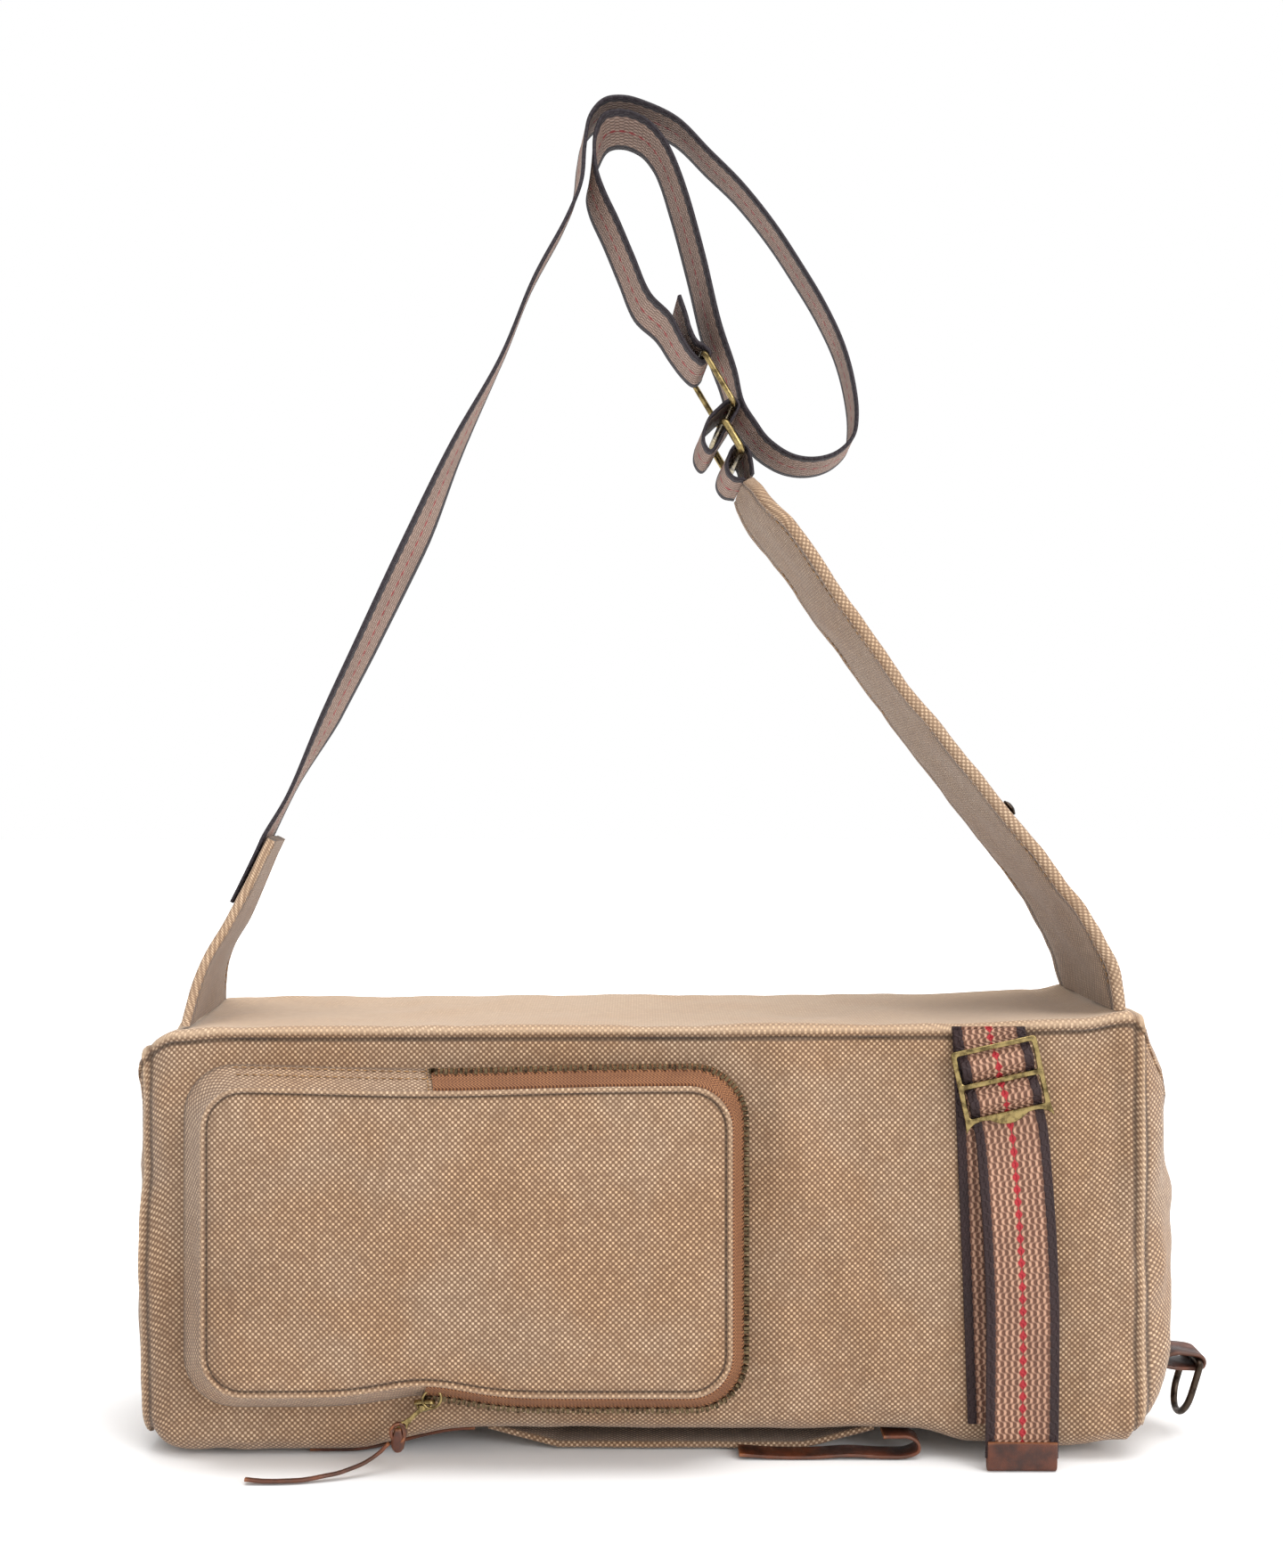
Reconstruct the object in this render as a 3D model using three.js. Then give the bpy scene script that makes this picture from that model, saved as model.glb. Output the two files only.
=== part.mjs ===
import * as THREE from 'three';

// Canvas sling bag, in millimetres, +Z up. The bag's length runs along X and its front faces -Y.
// The bag is drawn in its own frame: X from mid length, Y from the front seam, Z from its foot.
// The finished group is moved so that its origin lies where the strap hangs.

// Body
const BODY_LENGTH = 452;
const BODY_HEIGHT = 196;
const BODY_DEPTH = 115;
const CANVAS = 2;
const SEAM_GAP = 0.3;
const BOTTOM_CORNER = 12;
const FRONT_BELLY = 4;
const LEFT_END_ROUND = 7;
const LEFT_END_ROUND_LENGTH = 18;
const RIGHT_END_ROUND = 3;
const RIGHT_END_ROUND_LENGTH = 8;
const LEFT_END_BULGE = 8;
const RIGHT_END_BULGE = 22;

// Front pocket
const POCKET_DEPTH = 22;
const POCKET_CROWN = 4;
const POCKET_LENGTH = 231.5;
const POCKET_HEIGHT = 135;
const POCKET_LEFT = -192.5;
const POCKET_FOOT = 36.5;
const POCKET_CORNER = 18;
const FLARE_LEFT = 13;
const FLARE_RIGHT = 7.5;
const FLARE_TOP = 7.5;
const FLARE_BOTTOM = 11.5;
const FLARE_CORNER = 5;
const TAPE_THICKNESS = 1;
const TAPE_GAP = 0.4;
const TEETH_WIDTH = 3.2;
const TEETH_HEIGHT = 1.8;
const ZIP_START = 0.427;
const ZIP_END = 4.588;
const TEETH_ROW = 0.36;

// Webbing, straps and leather
const WEBBING_WIDTH = 38;
const WEBBING_THICKNESS = 1.5;
const STRAP_RISE = 430.6;
const STRAP_THICKNESS = 5.3;
const STRAP_SIDE_MARGIN = 2.5;
const STRAP_MID_WIDTH = 82;
const STRAP_END_WIDTH = 46;
const STRAP_SEAT = 0.4;
const TAB_THICKNESS = 5;
const BAND_WIDTH = 32.5;
const BAND_THICKNESS = 1.5;
const BAND_X = 155.4;
const BAND_STAND_OFF = 6.1;
const LEATHER = 2;

// Metal
const UPPER_RING_WIRE = 1.4;
const UPPER_RING_REACH = 14;
const LOWER_RING_WIRE = 1.8;
const LOWER_RING_REACH = 8;
const RING_SIDE_ROOM = 1.8;
const RING_CORNER = 3.2;
const WRAP_ROOM = 0.8;
const BUCKLE_WIDTH = 39;
const BUCKLE_HEIGHT = 36;
const BUCKLE_PLATE = 1.6;
const BUCKLE_RAIL = 2.4;
const D_RING_BAR = 24;
const D_RING_DROP = 26;
const D_RING_WIRE = 1.6;
const D_RING_LEAN = 17;
const RING_TAB_WIDTH = 19;
const RING_TAB_DEPTH = 40;
const RING_TAB_REACH = 20;
const RIVET_RADIUS = 4;

const halfLength = BODY_LENGTH / 2;
const midDepth = BODY_DEPTH / 2;
const strapBaseWidth = BODY_DEPTH - 2 * STRAP_SIDE_MARGIN;

// Finishes
const finishes = {
  canvas: { color: 0xa88c6c, roughness: 0.95, metalness: 0 },
  webbing: { color: 0xb59a85, roughness: 0.9, metalness: 0 },
  tape: { color: 0xb08463, roughness: 0.85, metalness: 0 },
  leather: { color: 0x6f3a26, roughness: 0.6, metalness: 0 },
  brass: { color: 0x8a7647, roughness: 0.35, metalness: 1 },
  bronze: { color: 0x3f3428, roughness: 0.4, metalness: 1 },
};

const bag = new THREE.Group();

function addPiece(name, finish, geometry, parent = bag) {
  const mesh = new THREE.Mesh(geometry, new THREE.MeshStandardMaterial(finishes[finish]));
  mesh.name = name;
  parent.add(mesh);
  return mesh;
}

// Small helpers

function lerp(a, b, t) {
  return a + (b - a) * t;
}

function bump(x, centre, spread) {
  return Math.exp(-(((x - centre) / spread) ** 2));
}

// Reads a table of [place, value] rows, joined by a smooth step or straight lines between rows.
function fromTable(rows, place, straight = false) {
  if (place <= rows[0][0]) return rows[0][1];
  for (let i = 1; i < rows.length; i += 1) {
    if (place <= rows[i][0]) {
      const t = (place - rows[i - 1][0]) / (rows[i][0] - rows[i - 1][0]);
      return lerp(rows[i - 1][1], rows[i][1], straight ? t : t * t * (3 - 2 * t));
    }
  }
  return rows[rows.length - 1][1];
}

// Builds an indexed geometry and turns its faces outwards by the sign of its volume.
function closedGeometry(points, index) {
  let volume = 0;
  for (let i = 0; i < index.length; i += 3) {
    const [a, b, c] = [points[index[i]], points[index[i + 1]], points[index[i + 2]]];
    volume += a.dot(b.clone().cross(c));
  }
  const turned = index.slice();
  if (volume < 0) turned.reverse();
  const geometry = new THREE.BufferGeometry();
  geometry.setFromPoints(points);
  geometry.setIndex(turned);
  geometry.computeVertexNormals();
  return geometry;
}

// A cloth wall: a grid of points on its outer side (side 0) and inner side (side 1), closed at its rim.
function clothSheet(pointAt, columns, rows, loop = false) {
  const stride = loop ? columns : columns + 1;
  const points = [];
  const index = [];
  for (let side = 0; side < 2; side += 1) {
    for (let row = 0; row <= rows; row += 1) {
      for (let column = 0; column < stride; column += 1) {
        points.push(pointAt(column / columns, row / rows, side));
      }
    }
  }
  const at = (side, row, column) => (side * (rows + 1) + row) * stride + (loop ? column % columns : column);
  const quad = (a, b, c, d) => index.push(a, b, c, a, c, d);
  for (let column = 0; column < columns; column += 1) {
    for (let row = 0; row < rows; row += 1) {
      quad(at(0, row, column), at(0, row, column + 1), at(0, row + 1, column + 1), at(0, row + 1, column));
      quad(at(1, row, column), at(1, row + 1, column), at(1, row + 1, column + 1), at(1, row, column + 1));
    }
    quad(at(0, 0, column), at(1, 0, column), at(1, 0, column + 1), at(0, 0, column + 1));
    quad(at(0, rows, column), at(0, rows, column + 1), at(1, rows, column + 1), at(1, rows, column));
  }
  if (!loop) {
    for (let row = 0; row < rows; row += 1) {
      quad(at(0, row, 0), at(0, row + 1, 0), at(1, row + 1, 0), at(1, row, 0));
      quad(at(0, row, columns), at(1, row, columns), at(1, row + 1, columns), at(0, row + 1, columns));
    }
  }
  return closedGeometry(points, index);
}

// A cloth panel with a round or boxy rim: rings of points from its middle (reach 0) to its rim (reach 1).
function clothPanel(pointAt, segments, rings) {
  const points = [];
  const index = [];
  for (let side = 0; side < 2; side += 1) {
    points.push(pointAt(0, 0, side));
    for (let ring = 1; ring <= rings; ring += 1) {
      for (let segment = 0; segment < segments; segment += 1) {
        points.push(pointAt(segment / segments, ring / rings, side));
      }
    }
  }
  const base = 1 + rings * segments;
  const at = (side, ring, segment) => side * base + 1 + (ring - 1) * segments + (segment % segments);
  for (let segment = 0; segment < segments; segment += 1) {
    const next = segment + 1;
    index.push(0, at(0, 1, segment), at(0, 1, next));
    index.push(base, at(1, 1, next), at(1, 1, segment));
    for (let ring = 1; ring < rings; ring += 1) {
      index.push(at(0, ring, segment), at(0, ring + 1, segment), at(0, ring + 1, next));
      index.push(at(0, ring, segment), at(0, ring + 1, next), at(0, ring, next));
      index.push(at(1, ring, segment), at(1, ring + 1, next), at(1, ring + 1, segment));
      index.push(at(1, ring, segment), at(1, ring, next), at(1, ring + 1, next));
    }
    index.push(at(0, rings, segment), at(1, rings, segment), at(1, rings, next));
    index.push(at(0, rings, segment), at(1, rings, next), at(0, rings, next));
  }
  return closedGeometry(points, index);
}

// Joins sections of equal point counts into a closed body, as a loop or with flat ends.
function skinSections(sections, closed) {
  const count = sections[0].length;
  const points = sections.flat();
  const index = [];
  const spans = closed ? sections.length : sections.length - 1;
  for (let i = 0; i < spans; i += 1) {
    const next = (i + 1) % sections.length;
    for (let j = 0; j < count; j += 1) {
      const k = (j + 1) % count;
      index.push(i * count + j, next * count + j, next * count + k);
      index.push(i * count + j, next * count + k, i * count + k);
    }
  }
  if (!closed) {
    const last = (sections.length - 1) * count;
    for (let j = 1; j < count - 1; j += 1) {
      index.push(0, j, j + 1);
      index.push(last, last + j + 1, last + j);
    }
  }
  return closedGeometry(points, index);
}

// A flat strap. Each station gives one edge of the strap and the vector across to its other edge.
function strapSolid(stations, thickness, stepsPerSpan, { closed = false, chamfer = 0 } = {}) {
  const edges = new THREE.CatmullRomCurve3(stations.map((station) => station.edge), closed, 'centripetal');
  const spans = new THREE.CatmullRomCurve3(stations.map((station) => station.across), closed, 'centripetal');
  const steps = (stations.length - (closed ? 0 : 1)) * stepsPerSpan;
  const sections = [];
  for (let i = 0; i < (closed ? steps : steps + 1); i += 1) {
    const t = i / steps;
    const across = spans.getPoint(t);
    const nearEdge = edges.getPoint(t);
    const farEdge = nearEdge.clone().add(across);
    const along = edges.getTangent(t);
    const out = along.cross(across).normalize().multiplyScalar(thickness / 2);
    const inset = across.clone().normalize().multiplyScalar(chamfer);
    const flat = out.clone().multiplyScalar(1 - (2 * chamfer) / thickness);
    const section = [nearEdge.clone().add(inset).add(out), farEdge.clone().sub(inset).add(out)];
    if (chamfer > 0) section.push(farEdge.clone().add(flat), farEdge.clone().sub(flat));
    section.push(farEdge.clone().sub(inset).sub(out), nearEdge.clone().add(inset).sub(out));
    if (chamfer > 0) section.push(nearEdge.clone().sub(flat), nearEdge.clone().add(flat));
    sections.push(section);
  }
  return skinSections(sections, closed);
}

// A strap station whose width runs front to back, centred on the bag's mid depth.
function deepStation(x, z, width, skewX, skewZ) {
  const reach = Math.sqrt(width ** 2 - skewX ** 2 - skewZ ** 2);
  return {
    edge: new THREE.Vector3(x, midDepth - reach / 2, z),
    across: new THREE.Vector3(skewX, reach, skewZ),
  };
}

// Round wire bent along a closed flat outline, drawn in the plane of axes a and b through a centre.
function flatWire(outline, centre, a, b, radius, sides) {
  const out = a.clone().cross(b).normalize();
  const count = outline.length;
  const sections = outline.map((point, i) => {
    const before = outline[(i + count - 1) % count];
    const after = outline[(i + 1) % count];
    const along = new THREE.Vector2(after.x - before.x, after.y - before.y).normalize();
    const middle = centre.clone().addScaledVector(a, point.x).addScaledVector(b, point.y);
    const side = a.clone().multiplyScalar(along.y).addScaledVector(b, -along.x);
    return Array.from({ length: sides }, (_, j) => {
      const angle = (2 * Math.PI * j) / sides;
      const spoke = side.clone().multiplyScalar(Math.cos(angle) * radius);
      return middle.clone().add(spoke).addScaledVector(out, Math.sin(angle) * radius);
    });
  });
  return skinSections(sections, true);
}

// The points of a rectangle with round corners, anticlockwise.
function roundedOutline(halfWidth, halfHeight, corner, perCorner) {
  const points = [];
  const corners = [[1, 1], [-1, 1], [-1, -1], [1, -1]];
  corners.forEach(([sx, sy], quarter) => {
    for (let i = 0; i <= perCorner; i += 1) {
      const angle = ((quarter + i / perCorner) * Math.PI) / 2;
      const x = sx * (halfWidth - corner) + corner * Math.cos(angle);
      const y = sy * (halfHeight - corner) + corner * Math.sin(angle);
      points.push(new THREE.Vector2(x, y));
    }
  });
  return points;
}

// Body of the bag

// [share of half length, height of the foot line as a share of the body height]
const footLine = [
  [-1, 0.0357], [-0.95, 0.0179], [-0.84, 0.0133], [-0.6, 0.0133], [-0.34, 0.0638], [0.55, 0.0612],
  [0.66, 0.0306], [0.84, 0.0204], [0.97, 0.0357], [1, 0.0561],
];
// [share of half length, rise of the top edge as a share of the body height]
const topLine = [
  [-1, -0.0255], [-0.93, -0.0102], [-0.82, -0.002], [0, 0], [0.6, 0.0031], [0.87, 0.0153],
  [0.97, 0.0316], [1, 0.0265],
];

function footZ(x) {
  return BODY_HEIGHT * fromTable(footLine, x / halfLength);
}

function topZ(x) {
  return BODY_HEIGHT * (1 + fromTable(topLine, x / halfLength));
}

// How far the section has drawn in at the rounded ends.
function endInset(x) {
  const left = Math.max(0, 1 - (x + halfLength) / LEFT_END_ROUND_LENGTH);
  const right = Math.max(0, 1 - (halfLength - x) / RIGHT_END_ROUND_LENGTH);
  return LEFT_END_ROUND * left ** 2 + RIGHT_END_ROUND * right ** 2;
}

function frontY(x, z) {
  const across = Math.max(0, 1 - (x / halfLength) ** 2);
  const level = (z - footZ(x)) / (topZ(x) - footZ(x));
  return endInset(x) - FRONT_BELLY * across * Math.sin(Math.PI * THREE.MathUtils.clamp(level, 0, 1));
}

// A long panel runs down its face and round the lower corner. Wall is the depth into the cloth.
function facePoint(x, v, wall) {
  const inset = endInset(x);
  const top = topZ(x) - inset;
  const foot = footZ(x) + inset;
  const straight = top - foot - BOTTOM_CORNER;
  const arc = (Math.PI / 2) * BOTTOM_CORNER;
  const travel = v < 2 / 3 ? straight * v * 1.5 : straight + arc * (3 * v - 2);
  if (travel <= straight) {
    const z = top - travel;
    return { depth: frontY(x, z) + wall, z };
  }
  const angle = (travel - straight) / BOTTOM_CORNER;
  const reach = BOTTOM_CORNER - wall;
  const belly = frontY(x, foot + BOTTOM_CORNER) - inset;
  const settle = belly * (1 - angle / (Math.PI / 2));
  const depth = inset + BOTTOM_CORNER - reach * Math.cos(angle) + settle;
  return { depth, z: foot + BOTTOM_CORNER - reach * Math.sin(angle) };
}

// The long panels share one set of columns, closer together where the ends are rounded.
const COLUMNS = 28;
const END_COLUMNS = 3;

function alongX(u) {
  const column = Math.round(u * COLUMNS);
  const fromLeft = -halfLength + (column / END_COLUMNS) * LEFT_END_ROUND_LENGTH;
  const fromRight = halfLength - ((COLUMNS - column) / END_COLUMNS) * RIGHT_END_ROUND_LENGTH;
  const t = (column - END_COLUMNS) / (COLUMNS - 2 * END_COLUMNS);
  if (t < 0) return fromLeft;
  if (t > 1) return fromRight;
  return lerp(-halfLength + LEFT_END_ROUND_LENGTH, halfLength - RIGHT_END_ROUND_LENGTH, t);
}

function frontPanel() {
  return clothSheet((u, v, side) => {
    const x = alongX(u);
    const point = facePoint(x, v, side * CANVAS);
    return new THREE.Vector3(x, point.depth, point.z);
  }, COLUMNS, 9);
}

function backPanel() {
  return clothSheet((u, v, side) => {
    const x = alongX(u);
    const point = facePoint(x, v, side * CANVAS);
    const flat = Math.max(point.depth, endInset(x) + side * CANVAS);
    return new THREE.Vector3(x, BODY_DEPTH - flat, point.z);
  }, COLUMNS, 6);
}

function topPanel() {
  const edge = CANVAS + SEAM_GAP;
  return clothSheet((u, v, side) => {
    const x = alongX(u);
    const inset = endInset(x);
    const y = lerp(inset + edge, BODY_DEPTH - inset - edge, v);
    return new THREE.Vector3(x, y, topZ(x) - inset - side * CANVAS);
  }, COLUMNS, 3);
}

function bottomPanel() {
  const edge = BOTTOM_CORNER + SEAM_GAP;
  return clothSheet((u, v, side) => {
    const x = alongX(u);
    const inset = endInset(x);
    const y = lerp(inset + edge, BODY_DEPTH - inset - edge, v);
    return new THREE.Vector3(x, y, footZ(x) + inset + side * CANVAS);
  }, COLUMNS, 3);
}

// The rim of an end panel: a boxy outline that fits inside the long panels where they end.
function endRim(k, direction) {
  const x = direction * halfLength;
  const inset = endInset(x) + CANVAS + SEAM_GAP;
  const lower = footZ(x) + inset;
  const upper = topZ(x) - inset;
  const angle = 2 * Math.PI * k;
  const boxy = (value) => Math.sign(value) * Math.abs(value) ** 0.3;
  const y = midDepth + (midDepth - inset) * boxy(Math.cos(angle));
  const z = (lower + upper) / 2 + ((upper - lower) / 2) * boxy(Math.sin(angle));
  return { y, z, middle: (lower + upper) / 2, half: (upper - lower) / 2 };
}

// Low on the panel the load pushes it out further than near the top.
function endPanel(direction, bulge) {
  const rimX = direction * halfLength;
  return clothPanel((k, reach, side) => {
    const rim = endRim(k, direction);
    const y = lerp(midDepth, rim.y, reach);
    const z = lerp(rim.middle, rim.z, reach);
    const low = 1 - 0.3 * ((z - rim.middle) / rim.half);
    const swell = bulge * low * (1 - reach ** 3);
    return new THREE.Vector3(rimX + direction * (swell - side * CANVAS), y, z);
  }, 28, 5);
}

addPiece('front_panel', 'canvas', frontPanel());
addPiece('back_panel', 'canvas', backPanel());
addPiece('top_panel', 'canvas', topPanel());
addPiece('bottom_panel', 'canvas', bottomPanel());
addPiece('left_end_panel', 'canvas', endPanel(-1, LEFT_END_BULGE));
addPiece('right_end_panel', 'canvas', endPanel(1, RIGHT_END_BULGE));

// Closed zip across the back, plain because nothing shows it.
const ZIP_LENGTH = 300;
const ZIP_TAPE_WIDTH = 26;
const ZIP_BELOW_TOP = 34;

function mainZip() {
  return clothSheet((u, v, side) => {
    const x = lerp(-ZIP_LENGTH / 2, ZIP_LENGTH / 2, u);
    const z = BODY_HEIGHT - ZIP_BELOW_TOP + ZIP_TAPE_WIDTH * (v - 0.5);
    const ridge = Math.abs(v - 0.5) < 0.08 ? TEETH_HEIGHT : 0;
    const proud = side === 0 ? TAPE_THICKNESS + ridge : 0;
    return new THREE.Vector3(x, BODY_DEPTH + SEAM_GAP + proud, z);
  }, 2, 14);
}

addPiece('main_zip', 'tape', mainZip());

// Front pocket

const pocketMiddle = POCKET_LEFT + POCKET_LENGTH / 2;

// Walks round the pocket: even spans are sides, odd spans are corners, clockwise from the top left.
// Level is 0 at the bag and 1 at the pocket's face. Grow moves the outline outwards.
function pocketOutline(walk, level, grow) {
  const out = 1 - level;
  const left = POCKET_LEFT - FLARE_LEFT * out - grow;
  const right = POCKET_LEFT + POCKET_LENGTH + FLARE_RIGHT * out + grow;
  const foot = POCKET_FOOT - FLARE_BOTTOM * out - grow;
  const head = POCKET_FOOT + POCKET_HEIGHT + FLARE_TOP * out + grow;
  const corner = POCKET_CORNER + FLARE_CORNER * out + grow;
  const span = Math.floor(walk) % 8;
  const t = walk - Math.floor(walk);
  const corners = [
    [right - corner, head - corner], [right - corner, foot + corner],
    [left + corner, foot + corner], [left + corner, head - corner],
  ];
  const sides = [
    [[left + corner, head], [right - corner, head]], [[right, head - corner], [right, foot + corner]],
    [[right - corner, foot], [left + corner, foot]], [[left, foot + corner], [left, head - corner]],
  ];
  let x;
  let z;
  if (span % 2 === 0) {
    const [from, to] = sides[span / 2];
    x = lerp(from[0], to[0], t);
    z = lerp(from[1], to[1], t);
  } else {
    const [cx, cz] = corners[(span - 1) / 2];
    const angle = Math.PI / 2 - (((span - 1) / 2 + t) * Math.PI) / 2;
    x = cx + corner * Math.cos(angle);
    z = cz + corner * Math.sin(angle);
  }
  return { x, z: z + pocketSag(x, z) };
}

// The lower edge is drawn up where the slider stops, and the upper edge dips above it.
function pocketSag(x, z) {
  const height = THREE.MathUtils.clamp((z - POCKET_FOOT) / POCKET_HEIGHT, 0, 1);
  const slider = POCKET_LEFT + 0.42 * POCKET_LENGTH;
  const drawn = 0.04 * POCKET_HEIGHT * bump(x, slider, 0.11 * POCKET_LENGTH);
  const dip = 0.016 * POCKET_HEIGHT * bump(x, slider, 0.26 * POCKET_LENGTH);
  return drawn * (1 - height) ** 2 - dip * height ** 2;
}

function pocketPoint(walk, level, grow) {
  const rim = pocketOutline(walk, level, grow);
  const y = lerp(frontY(rim.x, rim.z) - SEAM_GAP, -POCKET_DEPTH, level);
  return new THREE.Vector3(rim.x, y, rim.z);
}

// Places round the pocket where its cloth has an edge: close together in the corners, and one at each
// end of the zip.
function evenStops(from, to, count) {
  return Array.from({ length: count }, (_, i) => lerp(from, to, i / count));
}

const zipStops = [
  ...evenStops(ZIP_START, 1, 4), ...evenStops(1, 2, 5), ...evenStops(2, 3, 3), ...evenStops(3, 4, 5),
  ...evenStops(4, ZIP_END, 4), ZIP_END,
];
const plainStops = [
  ...evenStops(ZIP_END, 5, 3), ...evenStops(5, 6, 5), ...evenStops(6, 7, 3), ...evenStops(7, 8, 5),
  ...evenStops(8, 8 + ZIP_START, 3),
];
const pocketStops = [...zipStops.slice(0, -1), ...plainStops];

function pocketFront() {
  const middleZ = POCKET_FOOT + POCKET_HEIGHT / 2;
  return clothPanel((k, reach, side) => {
    const rim = pocketOutline(8 * k, 1, 0);
    const swell = POCKET_CROWN * (1 - reach ** 2.4);
    const x = lerp(pocketMiddle, rim.x, reach);
    const z = lerp(middleZ, rim.z, reach);
    return new THREE.Vector3(x, -POCKET_DEPTH - swell + side * CANVAS, z);
  }, 48, 5);
}

const gussetTop = 1 - (CANVAS + SEAM_GAP) / (POCKET_DEPTH - FRONT_BELLY - SEAM_GAP);

function pocketGusset() {
  const count = pocketStops.length;
  return clothSheet((u, v, side) => {
    return pocketPoint(pocketStops[Math.round(u * count)], v * gussetTop, -side * CANVAS);
  }, count, 2, true);
}

function zipTape() {
  const spans = zipStops.length - 1;
  return clothSheet((u, v, side) => {
    const level = lerp(0.12, 0.94 * gussetTop, v);
    const grow = TAPE_GAP + (1 - side) * TAPE_THICKNESS;
    return pocketPoint(zipStops[Math.round(u * spans)], level, grow);
  }, spans, 1);
}

function zipTeeth() {
  const spans = zipStops.length - 1;
  const half = TEETH_WIDTH / 2 / (POCKET_DEPTH - FRONT_BELLY);
  return clothSheet((u, v, side) => {
    const level = TEETH_ROW + half * (2 * v - 1);
    const grow = TAPE_GAP + TAPE_THICKNESS + SEAM_GAP + (1 - side) * TEETH_HEIGHT;
    return pocketPoint(zipStops[Math.round(u * spans)], level, grow);
  }, spans, 1);
}

addPiece('pocket_front', 'canvas', pocketFront());
addPiece('pocket_gusset', 'canvas', pocketGusset());
addPiece('pocket_zip_tape', 'tape', zipTape());
addPiece('pocket_zip_teeth', 'brass', zipTeeth());

// Zip slider, its pull and the leather puller tied to the pull

const SLIDER_LENGTH = 9;
const SLIDER_WIDTH = 6;
const PULL_LENGTH = 18;
const PULL_WIDTH = 4.4;
const PULL_THICKNESS = 1.4;
const PULLER_WIDTH = 3.6;
const KNOT_RADIUS = 3.8;

const teethTop = TAPE_GAP + TAPE_THICKNESS + SEAM_GAP + TEETH_HEIGHT;
const sliderSeat = pocketPoint(ZIP_END, TEETH_ROW, teethTop);
const gussetSlope = Math.atan(FLARE_BOTTOM / (POCKET_DEPTH - FRONT_BELLY));

function plate(length, width, thickness, corner) {
  const shape = new THREE.Shape(roundedOutline(length / 2, width / 2, corner, 3));
  return new THREE.ExtrudeGeometry(shape, { depth: thickness, bevelEnabled: false, curveSegments: 4 });
}

const SLIDER_THICKNESS = 1.8;
const slider = addPiece('zip_slider', 'brass', plate(SLIDER_LENGTH, SLIDER_WIDTH, SLIDER_THICKNESS, 2));
const sliderOut = new THREE.Vector3(0, -Math.sin(gussetSlope), -Math.cos(gussetSlope));
slider.rotation.x = Math.PI - gussetSlope;
slider.position.copy(sliderSeat).addScaledVector(sliderOut, 3 * SEAM_GAP);

// The pull hangs in front of the slider, down to the left.
const pullDown = new THREE.Vector3(-0.73, 0, -0.68).normalize();
const pullOut = new THREE.Vector3(0, -1, 0);
const pullFrame = new THREE.Matrix4().makeBasis(pullDown, pullOut.clone().cross(pullDown), pullOut);
const pull = addPiece('zip_pull', 'brass', plate(PULL_LENGTH, PULL_WIDTH, PULL_THICKNESS, 1.8));
pull.quaternion.setFromRotationMatrix(pullFrame);
const pullTop = new THREE.Vector3(2.5, -SLIDER_WIDTH / 2 - 1.2, 0.5).add(sliderSeat);
pull.position.copy(pullTop).addScaledVector(pullDown, PULL_LENGTH / 2);

// [x from the slider, y from the slider, height above the ground] as shares of the puller's length
const pullerRoute = [
  [-0.237, -0.078, 0.211], [-0.297, -0.094, 0.153], [-0.406, -0.128, 0.094], [-0.547, -0.172, 0.05],
  [-0.719, -0.219, 0.027], [-0.891, -0.25, 0.019], [-1.047, -0.258, 0.02], [-1.188, -0.258, 0.031],
];
const PULLER_LENGTH = 64;

function leatherPuller() {
  const start = new THREE.Vector3(sliderSeat.x, sliderSeat.y, 0);
  const stations = pullerRoute.map(([x, y, z]) => ({
    edge: new THREE.Vector3(x, y, z).multiplyScalar(PULLER_LENGTH).add(start),
    across: new THREE.Vector3(0, -PULLER_WIDTH, 0.15 * PULLER_WIDTH),
  }));
  return strapSolid(stations, LEATHER * 0.75, 3);
}

// [radius, height] as shares of the knot's radius
const knotProfile = [[0, -1.84], [0.58, -1.68], [0.76, -1.05], [0.68, -0.42], [1, 0.1], [0.84, 0.8], [0, 1.05]];

function pullerKnot() {
  const points = knotProfile.map(([r, h]) => new THREE.Vector2(r * KNOT_RADIUS, h * KNOT_RADIUS));
  return new THREE.LatheGeometry(points, 12);
}

addPiece('leather_puller', 'leather', leatherPuller());
const knot = addPiece('puller_knot', 'leather', pullerKnot());
const pullEnd = pullTop.clone().addScaledVector(pullDown, PULL_LENGTH);
knot.position.copy(pullEnd).add(new THREE.Vector3(-0.16, -0.2, -1.2).multiplyScalar(KNOT_RADIUS));
knot.rotation.x = Math.PI / 2;

// Decorative webbing band down the front, with its buckle and leather tip

// [height as a share of the body height, drift to the right of the band's head as a share of its width]
const bandDrift = [[0, 0.4], [0.35, 0.415], [0.6, 0.363], [0.765, 0.292], [0.975, 0.012], [1, 0]];

function bandX(z) {
  return BAND_X + BAND_WIDTH * fromTable(bandDrift, z / BODY_HEIGHT, true);
}

const BAND_LOWER_DRIFT = 7;
const buckleTop = 0.966 * BODY_HEIGHT;

// The lower band lies on the panel, from just under the top seam to the lower corner.
function bandLower() {
  const top = topZ(BAND_X) - BAND_THICKNESS;
  const foot = footZ(BAND_X) + BOTTOM_CORNER;
  const lift = SEAM_GAP + BAND_THICKNESS / 2;
  const stations = [];
  for (let i = 0; i <= 10; i += 1) {
    const z = lerp(top, foot, i / 10);
    const x = BAND_X + BAND_LOWER_DRIFT * (i / 10) - BAND_WIDTH / 2;
    const far = x + BAND_WIDTH;
    const edge = new THREE.Vector3(x, frontY(x, z) - lift, z);
    stations.push({ edge, across: new THREE.Vector3(BAND_WIDTH, frontY(far, z) - frontY(x, z), 0) });
  }
  return strapSolid(stations, BAND_THICKNESS, 1);
}

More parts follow.
